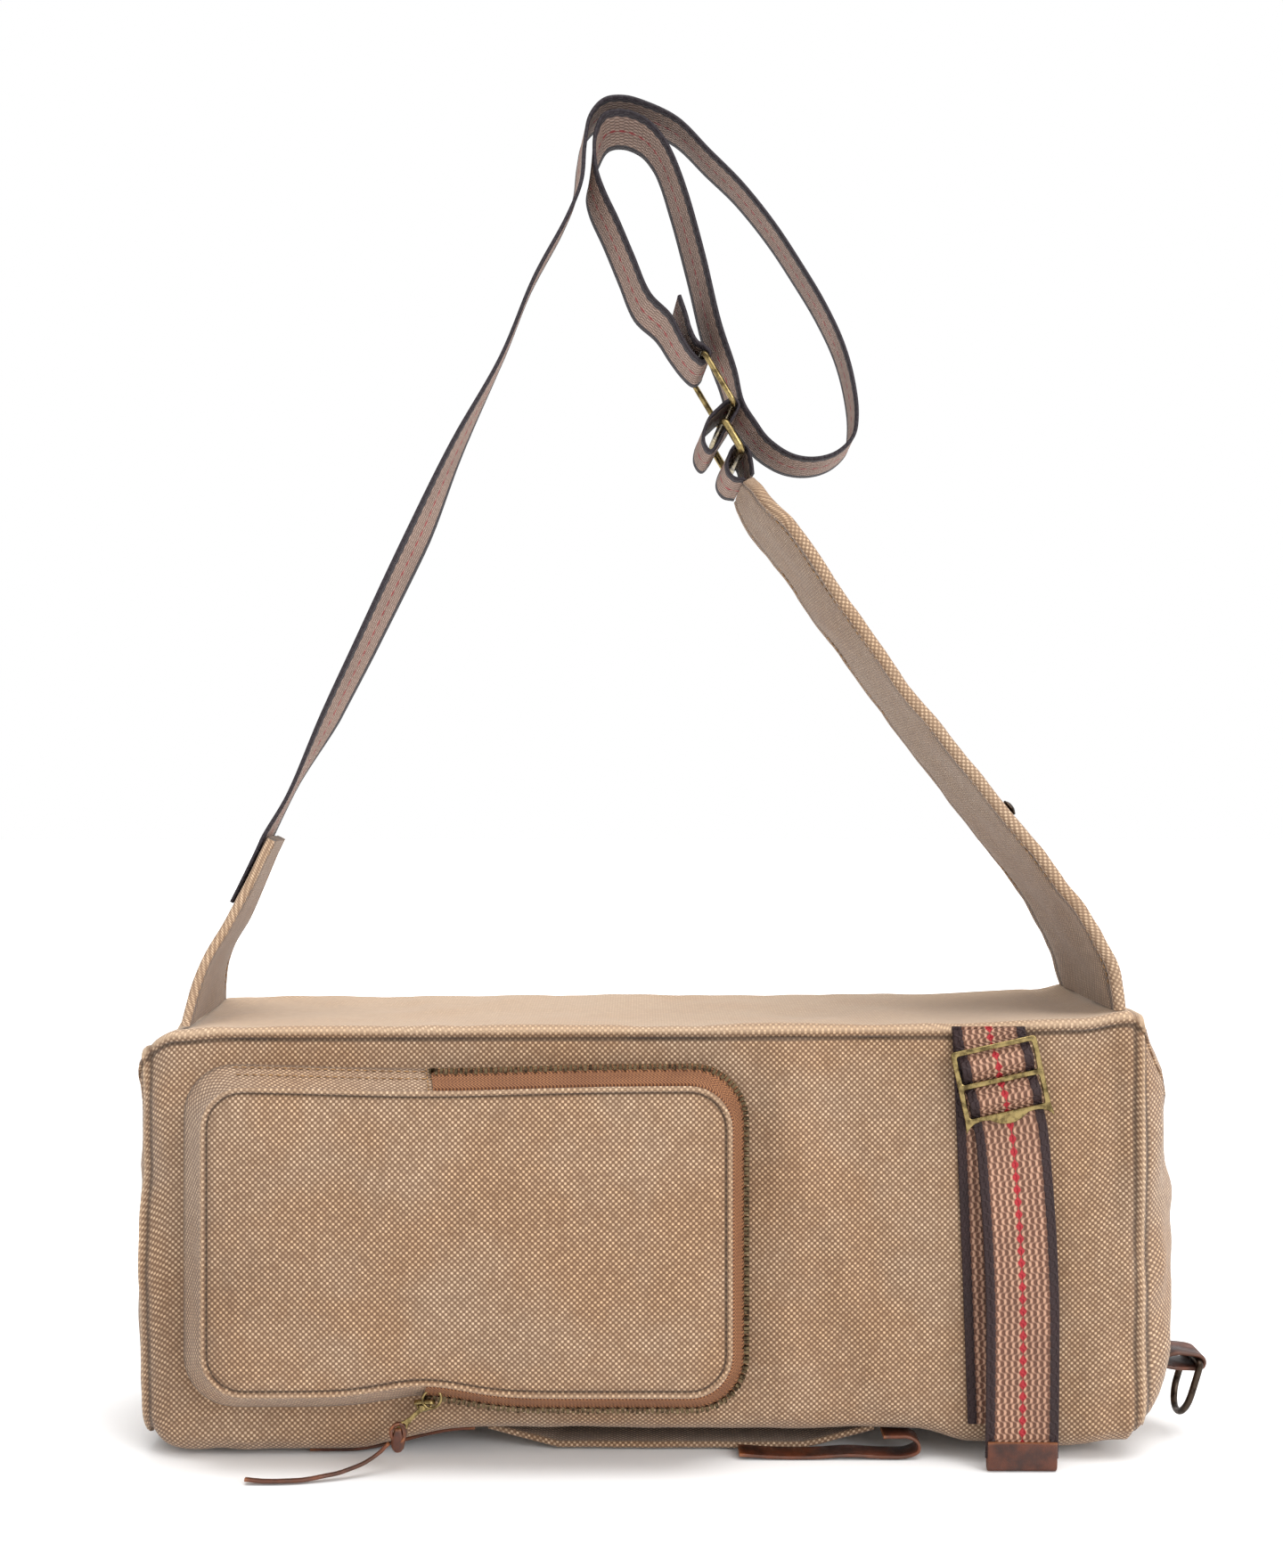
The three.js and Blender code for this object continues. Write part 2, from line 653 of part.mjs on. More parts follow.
// Through the buckle: [depth below its top as a share of its height, stand-off from the panel as a share]
const bandFolds = [
  [-0.157, 0.48], [-0.049, 0.54], [0.043, 0.61], [0.137, 1.08], [0.246, 1.54], [0.354, 1.08], [0.457, 0.69],
  [0.565, 1.08], [0.671, 1.57], [0.751, 1.11], [0.834, 0.75], [0.959, 0.69], [1.121, 0.72],
];
// Hanging free: [height as a share of the body height, stand-off as a share]
const bandHang = [[0.7, 1.02], [0.55, 1.39], [0.38, 1.64], [0.2, 1.8], [0.075, 1.84], [0.03, 1.8]];

function bandLean(z) {
  const reach = BAND_WIDTH / 8;
  return Math.atan((bandX(z - reach) - bandX(z + reach)) / (2 * reach));
}

function bandStation(z, standOff, width) {
  const lean = bandLean(z);
  const across = new THREE.Vector3(width * Math.cos(lean), 0, width * Math.sin(lean));
  const middle = new THREE.Vector3(bandX(z), frontY(BAND_X, z) - standOff, z);
  return { edge: middle.addScaledVector(across, -0.5), across };
}

function bandUpper() {
  const folds = bandFolds.map(([share, off]) => (
    bandStation(buckleTop - share * BUCKLE_HEIGHT, off * BAND_STAND_OFF, BAND_WIDTH)
  ));
  const hang = bandHang.map(([share, off]) => (
    bandStation(share * BODY_HEIGHT, off * BAND_STAND_OFF, BAND_WIDTH)
  ));
  return strapSolid([...folds, ...hang], BAND_THICKNESS, 2);
}

// [height as a share of the body height, share of the gap to either side]
const tipLeaf = [[0.068, 1], [0.035, 1], [0.012, 0.8], [0.004, 0], [0.012, -0.8], [0.035, -1], [0.068, -1]];

// A folded leather end that wraps the band's tip: front leaf, fold and back leaf.
function bandTip() {
  const gap = BAND_THICKNESS / 2 + 2 * SEAM_GAP + LEATHER * 0.35;
  const middle = bandHang[bandHang.length - 1][1] * BAND_STAND_OFF;
  const stations = tipLeaf.map(([share, side]) => (
    bandStation(share * BODY_HEIGHT, middle + side * gap, 0.95 * BAND_WIDTH)
  ));
  return strapSolid(stations, LEATHER * 0.7, 2);
}

addPiece('band_lower', 'webbing', bandLower());
addPiece('band_upper', 'webbing', bandUpper());
addPiece('band_tip', 'leather', bandTip());

// A three-bar slide with a curved lower lip. Bars are shares of its height below its top.
const buckleBars = [0, 0.422, 0.85];

function buckle() {
  const halfWidth = BUCKLE_WIDTH / 2;
  const halfHeight = BUCKLE_HEIGHT / 2;
  const corner = 0.055 * BUCKLE_HEIGHT;
  const lip = 0.083 * BUCKLE_HEIGHT;
  const shape = new THREE.Shape();
  shape.moveTo(-halfWidth + corner, halfHeight);
  shape.lineTo(halfWidth - corner, halfHeight);
  shape.quadraticCurveTo(halfWidth, halfHeight, halfWidth, halfHeight - corner);
  shape.lineTo(halfWidth, -halfHeight + 1.7 * lip);
  shape.lineTo(halfWidth + 0.2 * lip, -halfHeight - 0.33 * lip);
  shape.quadraticCurveTo(halfWidth - lip, -halfHeight + 1.53 * lip, halfWidth * 0.45, -halfHeight + lip);
  shape.quadraticCurveTo(0, -halfHeight - 0.13 * lip, -halfWidth * 0.45, -halfHeight + lip);
  const tipX = halfWidth + 0.2 * lip;
  const tipZ = -halfHeight - 0.33 * lip;
  shape.quadraticCurveTo(-halfWidth + lip, -halfHeight + 1.53 * lip, -tipX, tipZ);
  shape.lineTo(-halfWidth, -halfHeight + 1.7 * lip);
  shape.lineTo(-halfWidth, halfHeight - corner);
  shape.quadraticCurveTo(-halfWidth, halfHeight, -halfWidth + corner, halfHeight);
  const inner = halfWidth - BUCKLE_RAIL;
  for (let i = 0; i < 2; i += 1) {
    const high = halfHeight - buckleBars[i] * BUCKLE_HEIGHT - BUCKLE_RAIL;
    const low = halfHeight - buckleBars[i + 1] * BUCKLE_HEIGHT;
    const opening = new THREE.Path();
    opening.moveTo(-inner, low);
    opening.lineTo(inner, low);
    opening.lineTo(inner, high);
    opening.lineTo(-inner, high);
    shape.holes.push(opening);
  }
  return new THREE.ExtrudeGeometry(shape, { depth: BUCKLE_PLATE, bevelEnabled: false, curveSegments: 6 });
}

const buckleMiddle = buckleTop - BUCKLE_HEIGHT / 2;
const buckleMesh = addPiece('buckle', 'brass', buckle());
buckleMesh.rotation.set(Math.PI / 2, 0, bandLean(buckleMiddle));
buckleMesh.position.set(bandX(buckleMiddle), frontY(BAND_X, buckleMiddle) - BAND_STAND_OFF, buckleMiddle);

// Slip pocket and leather straps under the bag

const SLIP_LEFT = -70;
const SLIP_RIGHT = 106;
const SLIP_FRONT = 15;
const SLIP_DEPTH = 72;
const SLIP_SAG = 8.5;
const SLIP_CLOTH = 1.8;

function slipPocket() {
  return clothSheet((u, v, side) => {
    const x = lerp(SLIP_LEFT, SLIP_RIGHT, u);
    const y = SLIP_FRONT + SLIP_DEPTH * v;
    const open = Math.min(1, 5.5 * Math.min(u, 1 - u)) * (1 - v ** 2);
    const seat = footZ(x) - SEAM_GAP;
    return new THREE.Vector3(x, y, seat - SLIP_SAG * open - (1 - side) * SLIP_CLOTH);
  }, 18, 5);
}

addPiece('slip_pocket', 'canvas', slipPocket());

const FOOT_STRAP_WIDTH = 20;
const FOOT_STRAP_START = -151;
const FOOT_STRAP_END = -76;

function footStrap() {
  const stations = [];
  for (let i = 0; i <= 8; i += 1) {
    const x = lerp(FOOT_STRAP_START, FOOT_STRAP_END, i / 8);
    const z = footZ(x) - 2 * SEAM_GAP - LEATHER / 2;
    stations.push({
      edge: new THREE.Vector3(x, BOTTOM_CORNER + SEAM_GAP, z),
      across: new THREE.Vector3(0, FOOT_STRAP_WIDTH, 0),
    });
  }
  return strapSolid(stations, LEATHER * 0.8, 1);
}

addPiece('foot_strap', 'leather', footStrap());

// A folded strap end: [x from the slip pocket's right end, z from the foot line there] as shares of its length
const foldedRoute = [
  [0.037, -0.02], [0.113, -0.019], [0.181, -0.022], [0.231, -0.056], [0.233, -0.1], [0.175, -0.128],
  [0.05, -0.133], [-0.15, -0.123], [-0.375, -0.135], [-0.575, -0.133], [-0.775, -0.12],
];
const FOLDED_STRAP_LENGTH = 80;
const FOLDED_STRAP_WIDTH = 13;

function foldedStrap() {
  const front = SLIP_FRONT - 2 * SEAM_GAP - FOLDED_STRAP_WIDTH;
  const stations = foldedRoute.map(([x, z]) => ({
    edge: new THREE.Vector3(
      SLIP_RIGHT + x * FOLDED_STRAP_LENGTH,
      front,
      footZ(SLIP_RIGHT) + z * FOLDED_STRAP_LENGTH,
    ),
    across: new THREE.Vector3(0, FOLDED_STRAP_WIDTH, 0),
  }));
  return strapSolid(stations, LEATHER * 0.8, 3);
}

addPiece('folded_strap', 'leather', foldedStrap());

// Leather loop on the right end and the ring that swings in it

const LOOP_HEIGHT = 34;
const LOOP_LEATHER = 1.8;
const LOOP_BAR_ROOM = 0.4;
const LOOP_SEAT = 2;

function rightEndX(z) {
  const rim = endRim(0.25, 1);
  const reach = Math.min(1, Math.abs(z - rim.middle) / rim.half);
  const low = 1 - 0.3 * ((z - rim.middle) / rim.half);
  return halfLength + RIGHT_END_BULGE * low * (1 - reach ** 3);
}

const loopFoot = rightEndX(LOOP_HEIGHT);
const barCentre = new THREE.Vector3(loopFoot + RING_TAB_REACH, RING_TAB_DEPTH, LOOP_HEIGHT + 1);

// Round the bar and back to the panel: [x share of the reach back to the panel, x and z in wraps of the bar]
const tabRoute = [
  [1, 0, 0.55], [0.6, 0, 1.41], [0.25, 0, 1.34], [0, 0.17, 1], [0, 0.8, 0.62], [0, 1, 0], [0, 0.75, -0.7],
  [0, 0, -1], [0.3, 0, -1], [0.62, 0, -0.9], [1, 0, -0.41],
];

function ringTab() {
  const wrap = D_RING_WIRE + LOOP_BAR_ROOM + LOOP_LEATHER / 2;
  const back = loopFoot + LOOP_SEAT - barCentre.x;
  const stations = tabRoute.map(([reach, x, z]) => ({
    edge: new THREE.Vector3(
      barCentre.x + reach * back + x * wrap,
      barCentre.y - RING_TAB_WIDTH / 2,
      barCentre.z + z * wrap,
    ),
    across: new THREE.Vector3(0, RING_TAB_WIDTH, 0),
  }));
  return strapSolid(stations, LOOP_LEATHER, 2);
}

addPiece('ring_tab', 'leather', ringTab());

// A D: a straight bar between two short arms that run into a round bow.
function dRing() {
  const half = D_RING_BAR / 2;
  const bend = D_RING_WIRE;
  const outline = [
    new THREE.Vector2(-half + 1.25 * bend, 0), new THREE.Vector2(0, 0), new THREE.Vector2(half - 1.25 * bend, 0),
    new THREE.Vector2(half - 0.3 * bend, 0.5 * bend), new THREE.Vector2(half, 1.9 * bend),
  ];
  const bowTop = D_RING_DROP - half;
  for (let i = 0; i <= 10; i += 1) {
    const angle = (Math.PI * i) / 10;
    outline.push(new THREE.Vector2(half * Math.cos(angle), bowTop + half * Math.sin(angle)));
  }
  outline.push(new THREE.Vector2(-half, 1.9 * bend), new THREE.Vector2(-half + 0.3 * bend, 0.5 * bend));
  const lean = THREE.MathUtils.degToRad(D_RING_LEAN);
  const down = new THREE.Vector3(-Math.sin(lean), 0, -Math.cos(lean));
  return flatWire(outline, barCentre, new THREE.Vector3(0, 1, 0), down, D_RING_WIRE, 8);
}

addPiece('d_ring', 'bronze', dRing());

// Strap. Routes give the near edge's mid thickness: x as a share of half length, z as a share of the
// strap's rise above the body. Skew is how far the far edge is shifted against the near one, as a share
// of the webbing's width.

function routeX(share) {
  return share * halfLength;
}

function routeZ(share) {
  return BODY_HEIGHT + share * STRAP_RISE;
}

function webbingStation(x, z, skewX, skewZ, width = WEBBING_WIDTH) {
  return deepStation(x, z, width, skewX * WEBBING_WIDTH, skewZ * WEBBING_WIDTH);
}

// Both rings lean to the left. Each has a high and a low bar, and webbing wraps a bar at its wrap radius.
const RING_LEAN = 30;
const RING_SKEW = { x: -0.092, z: -0.118 };
const ringLean = THREE.MathUtils.degToRad(RING_LEAN);

function bar(centre, reach, wire) {
  return {
    x: centre.x - reach * Math.sin(ringLean),
    z: centre.z + reach * Math.cos(ringLean),
    wrap: wire + WEBBING_THICKNESS / 2 + WRAP_ROOM,
  };
}

// Middle of the lower ring at the strap's near edge
const lowerRing = { x: routeX(0.188), z: routeZ(0.6298) };
const lowerHigh = bar(lowerRing, LOWER_RING_REACH, LOWER_RING_WIRE);
const lowerLow = bar(lowerRing, -LOWER_RING_REACH, LOWER_RING_WIRE);
const upperSeat = aroundBar(lowerHigh, 2.74, 61);
const upperRing = bar(upperSeat, UPPER_RING_REACH, UPPER_RING_WIRE);
const upperLow = bar(upperRing, -UPPER_RING_REACH, UPPER_RING_WIRE);
const upperHigh = bar(upperRing, UPPER_RING_REACH, UPPER_RING_WIRE);

// A place near a bar: its distance in wrap radii and its angle in degrees from +X towards +Z.
function aroundBar(place, reach, angle) {
  const radians = THREE.MathUtils.degToRad(angle);
  const length = reach * place.wrap;
  return { x: place.x + length * Math.cos(radians), z: place.z + length * Math.sin(radians) };
}

function wrapStation(place, [reach, angle, skewX = RING_SKEW.x, skewZ = RING_SKEW.z], width = WEBBING_WIDTH) {
  const { x, z } = aroundBar(place, reach, angle);
  return webbingStation(x, z, skewX, skewZ, width);
}

// [x share, z share, width share from top to base, skew x]
const tabRows = [
  [-0.904, 0.021, 0.86, -0.184], [-0.895, 0.0425, 0.75, -0.184], [-0.879, 0.068, 0.61, -0.158],
  [-0.85, 0.0964, 0.44, -0.118], [-0.832, 0.1177, 0.3, -0.092], [-0.8115, 0.141, 0.18, -0.079],
  [-0.787, 0.1705, 0.07, -0.068], [-0.768, 0.1904, 0, -0.066],
];

function leftTab() {
  const topWidth = WEBBING_WIDTH + 1;
  const baseZ = topZ(routeX(-0.911)) + 3 * STRAP_SEAT;
  const base = webbingStation(routeX(-0.911), baseZ, -0.184, 0, strapBaseWidth);
  const rows = tabRows.map(([x, z, share, skew]) => (
    webbingStation(routeX(x), routeZ(z), skew, 0, lerp(topWidth, strapBaseWidth, share))
  ));
  return strapSolid([base, ...rows], TAB_THICKNESS, 2, { chamfer: 0.24 * TAB_THICKNESS });
}

addPiece('left_tab', 'canvas', leftTab());

// [x share, z share, width share from mid width to base width, skew x, skew z]
const shoulderRows = [
  [0.941, 0.058, 0.93, -0.079, -0.013], [0.916, 0.0889, 0.82, -0.105, -0.026],
  [0.885, 0.1196, 0.68, -0.105, -0.039], [0.8434, 0.1463, 0.57, -0.105, -0.039],
  [0.785, 0.187, 0.43, -0.105, -0.039], [0.7345, 0.2206, 0.32, -0.105, -0.039],
  [0.6664, 0.2666, 0.21, -0.105, -0.039], [0.588, 0.3186, 0.14, -0.105, -0.039],
  [0.495, 0.383, 0.07, -0.105, -0.039],
  [0.3947, 0.4563, 0, -0.105, -0.053], [0.302, 0.5262, -0.03, -0.105, -0.079],
];
// The round end under the lower ring: [reach, angle, width as a share of the mid width]
const shoulderEnd = [[8.78, -65, 0.9], [5.86, -68, 0.76], [4.14, -73, STRAP_END_WIDTH / STRAP_MID_WIDTH]];

function shoulderStrap() {
  const baseZ = topZ(routeX(0.9566)) + STRAP_SEAT;
  const base = webbingStation(routeX(0.9566), baseZ, -0.026, 0, strapBaseWidth);
  const rows = shoulderRows.map(([x, z, share, skewX, skewZ]) => (
    webbingStation(routeX(x), routeZ(z), skewX, skewZ, lerp(STRAP_MID_WIDTH, strapBaseWidth, share))
  ));
  const ends = shoulderEnd.map(([reach, angle, share]) => (
    wrapStation(lowerLow, [reach, angle], share * STRAP_MID_WIDTH)
  ));
  return strapSolid([base, ...rows, ...ends], STRAP_THICKNESS, 3, { chamfer: 0.24 * STRAP_THICKNESS });
}

addPiece('shoulder_strap', 'canvas', shoulderStrap());

// [x share, z share, skew x, skew z] from the left tab over the top, round the big loop
const outerRoute = [
  [-0.852, 0.1222, -0.061, 0], [-0.83, 0.1453, -0.058, 0], [-0.803, 0.1746, -0.058, 0],
  [-0.785, 0.1946, -0.063, 0.005],
  [-0.735, 0.2387, -0.105, 0.039], [-0.666, 0.325, 0.063, -0.029], [-0.597, 0.4038, 0.111, -0.05],
  [-0.496, 0.5174, 0.142, -0.066], [-0.394, 0.6242, 0.016, -0.008], [-0.292, 0.7174, -0.111, 0.05],
  [-0.222, 0.8047, -0.121, 0.053], [-0.152, 0.8728, -0.126, 0.053], [-0.124, 0.9106, -0.132, 0.026],
  [-0.117, 0.95, -0.121, 0], [-0.106, 0.981, -0.105, -0.016], [-0.077, 0.9985, -0.066, -0.026],
  [-0.037, 1.0013, -0.026, -0.039], [0.007, 0.9951, 0, -0.039], [0.074, 0.9777, 0, -0.026],
  [0.141, 0.9426, 0, -0.013], [0.207, 0.9078, 0, 0], [0.274, 0.8639, 0, 0], [0.329, 0.8203, 0, 0],
  [0.379, 0.7766, 0, 0], [0.418, 0.733, 0, 0], [0.44, 0.692, 0, -0.013], [0.448, 0.6542, 0, -0.026],
  [0.44, 0.6309, 0, -0.053], [0.407, 0.6136, -0.013, -0.066], [0.362, 0.6068, -0.026, -0.074],
  [0.313, 0.6105, -0.053, -0.079], [0.263, 0.6282, -0.079, -0.092],
];
// Beside the upper ring's low bar: [reach, angle, skew x, skew z]
const passRoute = [[4.44, -36, -0.092, -0.105], [1.72, 22, -0.105, -0.105], [5.75, 86, -0.145, -0.079]];
// [x share, z share, skew x, skew z] up the inner loop, over the top and down again
const innerRoute = [
  [0.163, 0.7562, -0.184, -0.053], [0.13, 0.8291, -0.184, -0.053], [0.091, 0.902, -0.171, -0.066],
  [0.063, 0.94, -0.132, -0.092], [0.041, 0.9601, -0.092, -0.132], [0.007, 0.9777, -0.039, -0.158],
  [-0.037, 0.9863, -0.013, -0.158], [-0.076, 0.983, 0.013, -0.158], [-0.094, 0.966, 0, -0.158],
  [-0.098, 0.945, -0.066, -0.132], [-0.093, 0.922, -0.145, -0.105], [-0.077, 0.8984, -0.184, -0.079],
  [-0.05, 0.8686, -0.184, -0.092], [-0.017, 0.8279, -0.184, -0.105], [0.017, 0.787, -0.184, -0.118],
];
// Round the upper ring's high bar, then the loose tail: [reach, angle, skew x, skew z]
const foldRoute = [
  [8.1, 130, -0.158, -0.118], [4.38, 141, -0.118, -0.118], [1.7, 176], [1.16, -90], [1.12, 1], [1.23, 74],
  [2.3, 116], [4.48, 117, -0.092, -0.092], [7.16, 113, -0.079, -0.066], [10.06, 112, -0.066, -0.053],
];

function strapWebbing() {
  const byShare = ([x, z, skewX, skewZ]) => webbingStation(routeX(x), routeZ(z), skewX, skewZ);
  const stations = [
    ...outerRoute.map(byShare), ...passRoute.map((row) => wrapStation(upperLow, row)),
    ...innerRoute.map(byShare), ...foldRoute.map((row) => wrapStation(upperHigh, row)),
  ];
  return strapSolid(stations, WEBBING_THICKNESS, 2);
}

addPiece('strap_webbing', 'webbing', strapWebbing());

// Rings of bent wire. Their width follows the strap's skew, so the webbing lies square in them.
const ringSide = webbingStation(0, 0, RING_SKEW.x, RING_SKEW.z).across.normalize();
const ringUp = new THREE.Vector3(-Math.sin(ringLean), 0, Math.cos(ringLean));
ringUp.addScaledVector(ringSide, -ringUp.dot(ringSide)).normalize();

function strapRing(place, wire, reach) {
  const near = webbingStation(place.x, place.z, RING_SKEW.x, RING_SKEW.z);
  const centre = near.edge.clone().addScaledVector(near.across, 0.5);
  const halfWidth = WEBBING_WIDTH / 2 + RING_SIDE_ROOM + wire;
  const outline = roundedOutline(halfWidth, reach, RING_CORNER, 4);
  return flatWire(outline, centre, ringSide, ringUp, wire, 6);
}

addPiece('upper_ring', 'brass', strapRing(upperRing, UPPER_RING_WIRE, UPPER_RING_REACH));
addPiece('lower_ring', 'brass', strapRing(lowerRing, LOWER_RING_WIRE, LOWER_RING_REACH));

// A webbing loop that ties the two rings: [reach, angle] round the upper ring's low bar, then a slack
// belly and round the lower ring's high bar
const linkAbove = [[0.99, 8], [1.06, 86], [1.19, 149]];
const linkBelow = [
  [2.1, 108], [1.99, 158], [2.9, 204], [3.91, 227], [4.36, 246], [3.06, 255], [1.13, -81], [0.96, 5],
];
// A loop round the lower ring's low bar, with both legs down to the strap's end: [reach, angle]
const endLoopRoute = [
  [3.92, -81], [3.63, 254], [2.81, 229], [1.48, 188], [1.15, 128], [1.17, 77], [1.17, 23], [1.97, -38], [3.54, -60],
];

const linkStations = [
  ...linkAbove.map((row) => wrapStation(upperLow, row)), ...linkBelow.map((row) => wrapStation(lowerHigh, row)),
];
const endLoopStations = endLoopRoute.map((row) => wrapStation(lowerLow, row));
const loopThickness = 0.85 * WEBBING_THICKNESS;

addPiece('ring_link', 'webbing', strapSolid(linkStations, loopThickness, 2, { closed: true }));
addPiece('strap_end_loop', 'webbing', strapSolid(endLoopStations, loopThickness, 2));

// Rivet on the strap's outer side, near its front edge. [radius share, height share]
const RIVET_HEIGHT = 2.4;
const RIVET_EDGE = 20;
const rivetPlace = new THREE.Vector3(routeX(0.7345), RIVET_EDGE, routeZ(0.2206));
const rivetOut = new THREE.Vector3(0.788, 0, 0.615);
const rivetProfile = [[0, 0], [0.7, 0], [1, 0.33], [0.8, 0.75], [0, 1]];
const rivetPoints = rivetProfile.map(([r, h]) => new THREE.Vector2(r * RIVET_RADIUS, h * RIVET_HEIGHT));
const rivetShape = new THREE.LatheGeometry(rivetPoints, 12);
const rivet = addPiece('strap_rivet', 'bronze', rivetShape);
rivet.position.copy(rivetPlace).addScaledVector(rivetOut, STRAP_THICKNESS / 2 + 2 * SEAM_GAP);
rivet.quaternion.setFromUnitVectors(new THREE.Vector3(0, 1, 0), rivetOut);

// The origin is under the inner loop of webbing at the strap's top.
const HANG_CLEARANCE = 3;
const hangZ = routeZ(0.9863) - WEBBING_THICKNESS / 2 - HANG_CLEARANCE;
const hangPoint = new THREE.Vector3(routeX(-0.037), midDepth, hangZ);
bag.position.copy(hangPoint).negate();

const canvasSlingBag = new THREE.Group();
canvasSlingBag.add(bag);

export default canvasSlingBag;
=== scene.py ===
"""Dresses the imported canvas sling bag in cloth, webbing, leather and metal, in the CAD's own frame."""

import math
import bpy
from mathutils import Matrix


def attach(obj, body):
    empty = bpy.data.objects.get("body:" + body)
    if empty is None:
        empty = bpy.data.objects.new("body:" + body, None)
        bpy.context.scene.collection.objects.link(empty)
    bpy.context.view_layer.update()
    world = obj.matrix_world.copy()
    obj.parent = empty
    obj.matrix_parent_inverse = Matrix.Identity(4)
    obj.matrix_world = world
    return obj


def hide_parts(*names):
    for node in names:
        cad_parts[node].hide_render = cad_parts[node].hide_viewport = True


bl_info = {
    "name": "Canvas sling bag",
    "version": (1, 0, 0),
    "blender": (4, 5, 0),
    "location": "View3D > Sidebar > Sling bag",
    "description": "Builds the dressed sling bag piece by piece over its CAD frame",
    "category": "Object",
}

import bmesh
import bpy
from mathutils import Matrix, Vector, noise

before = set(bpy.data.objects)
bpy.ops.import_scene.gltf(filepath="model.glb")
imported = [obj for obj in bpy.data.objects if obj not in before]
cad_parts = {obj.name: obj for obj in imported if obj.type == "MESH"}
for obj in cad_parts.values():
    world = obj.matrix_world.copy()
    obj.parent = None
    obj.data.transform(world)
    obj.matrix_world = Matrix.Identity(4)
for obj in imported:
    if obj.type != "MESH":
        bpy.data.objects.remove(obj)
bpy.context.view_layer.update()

MM = 0.001
# Sizes are in millimetres in the bag's own frame: X from mid length, Y from the front seam, Z from the foot.
BODY_LENGTH = 452
BODY_HEIGHT = 196
BODY_DEPTH = 115
HALF_LENGTH = BODY_LENGTH / 2
MID_DEPTH = BODY_DEPTH / 2
BOTTOM_CORNER = 12
TOP_CORNER = 3
FRONT_BELLY = 4
SEAM_GAP = 0.3

POCKET_DEPTH = 22
POCKET_CROWN = 4
POCKET_LENGTH = 231.5
POCKET_HEIGHT = 135
POCKET_LEFT = -192.5
POCKET_FOOT = 36.5
POCKET_CORNER = 18
ZIP_START = 0.427
ZIP_END = 4.588
TEETH_ROW = 0.36
POCKET_TAPE_TOP = 0.82

WEBBING_WIDTH = 38
WEBBING_THICKNESS = 1.5
STRAP_RISE = 430.6
STRAP_THICKNESS = 5.3
STRAP_BASE_WIDTH = 110
STRAP_MID_WIDTH = 82
STRAP_END_WIDTH = 46
TAB_THICKNESS = 5
BAND_WIDTH = 32.5
BAND_THICKNESS = 1.5
BAND_X = 155.4
BAND_STAND_OFF = 6.1
BUCKLE_WIDTH = 39
BUCKLE_HEIGHT = 36
BUCKLE_TOP = 0.966 * BODY_HEIGHT
MAIN_ZIP_LENGTH = 300
MAIN_ZIP_HEIGHT = BODY_HEIGHT - 34
LEATHER = 2

UPPER_RING_WIRE = 1.4
UPPER_RING_REACH = 14
LOWER_RING_WIRE = 1.8
LOWER_RING_REACH = 8
RING_LEAN = math.radians(30)
RING_SKEW = (-0.092, -0.118)
D_RING_BAR = 24
D_RING_DROP = 26
D_RING_WIRE = 1.6
D_RING_LEAN = math.radians(17)


def route_x(share):
    return share * HALF_LENGTH


def route_z(share):
    return BODY_HEIGHT + share * STRAP_RISE


# The row's origin lies under the strap's top, 3 mm and half a webbing below its inner loop.
HANG_POINT = Vector((route_x(-0.037), MID_DEPTH, route_z(0.9863) - WEBBING_THICKNESS / 2 - 3))

# The photograph's camera: 850 mm in front of the bag, level, at the height of the horizon.
CAMERA_DISTANCE = 850
CAMERA_HEIGHT = 308.4
CAMERA_FOCAL_PIXELS = 2125
IMAGE_HEIGHT = 1760
HORIZON_PIXELS_ABOVE_MIDDLE = 10


# Small helpers


def to_linear(code):
    """An sRGB hex colour as linear red, green and blue."""
    parts = [int(code[i : i + 2], 16) / 255 for i in (1, 3, 5)]
    return tuple(p / 12.92 if p <= 0.04045 else ((p + 0.055) / 1.055) ** 2.4 for p in parts)


def place(point):
    """A point of the bag's own frame, in millimetres, as metres in the row's frame."""
    return (Vector(point) - HANG_POINT) * MM


def lerp(a, b, t):
    return a + (b - a) * t


def clamp(value, low, high):
    return max(low, min(high, value))


def bump(value, centre, spread):
    return math.exp(-(((value - centre) / spread) ** 2))


def from_table(rows, value, straight=False):
    """Reads a table of (place, value) rows, joined by a smooth step or by straight lines."""
    if value <= rows[0][0]:
        return rows[0][1]
    for (x0, y0), (x1, y1) in zip(rows, rows[1:]):
        if value <= x1:
            t = (value - x0) / (x1 - x0)
            return lerp(y0, y1, t if straight else t * t * (3 - 2 * t))
    return rows[-1][1]


def rough(x, y, z, seed=0.0):
    """Smooth noise from about -1 to 1, the same in each run."""
    return noise.noise(Vector((x + seed, y + 3.1 * seed, z - 1.7 * seed)))


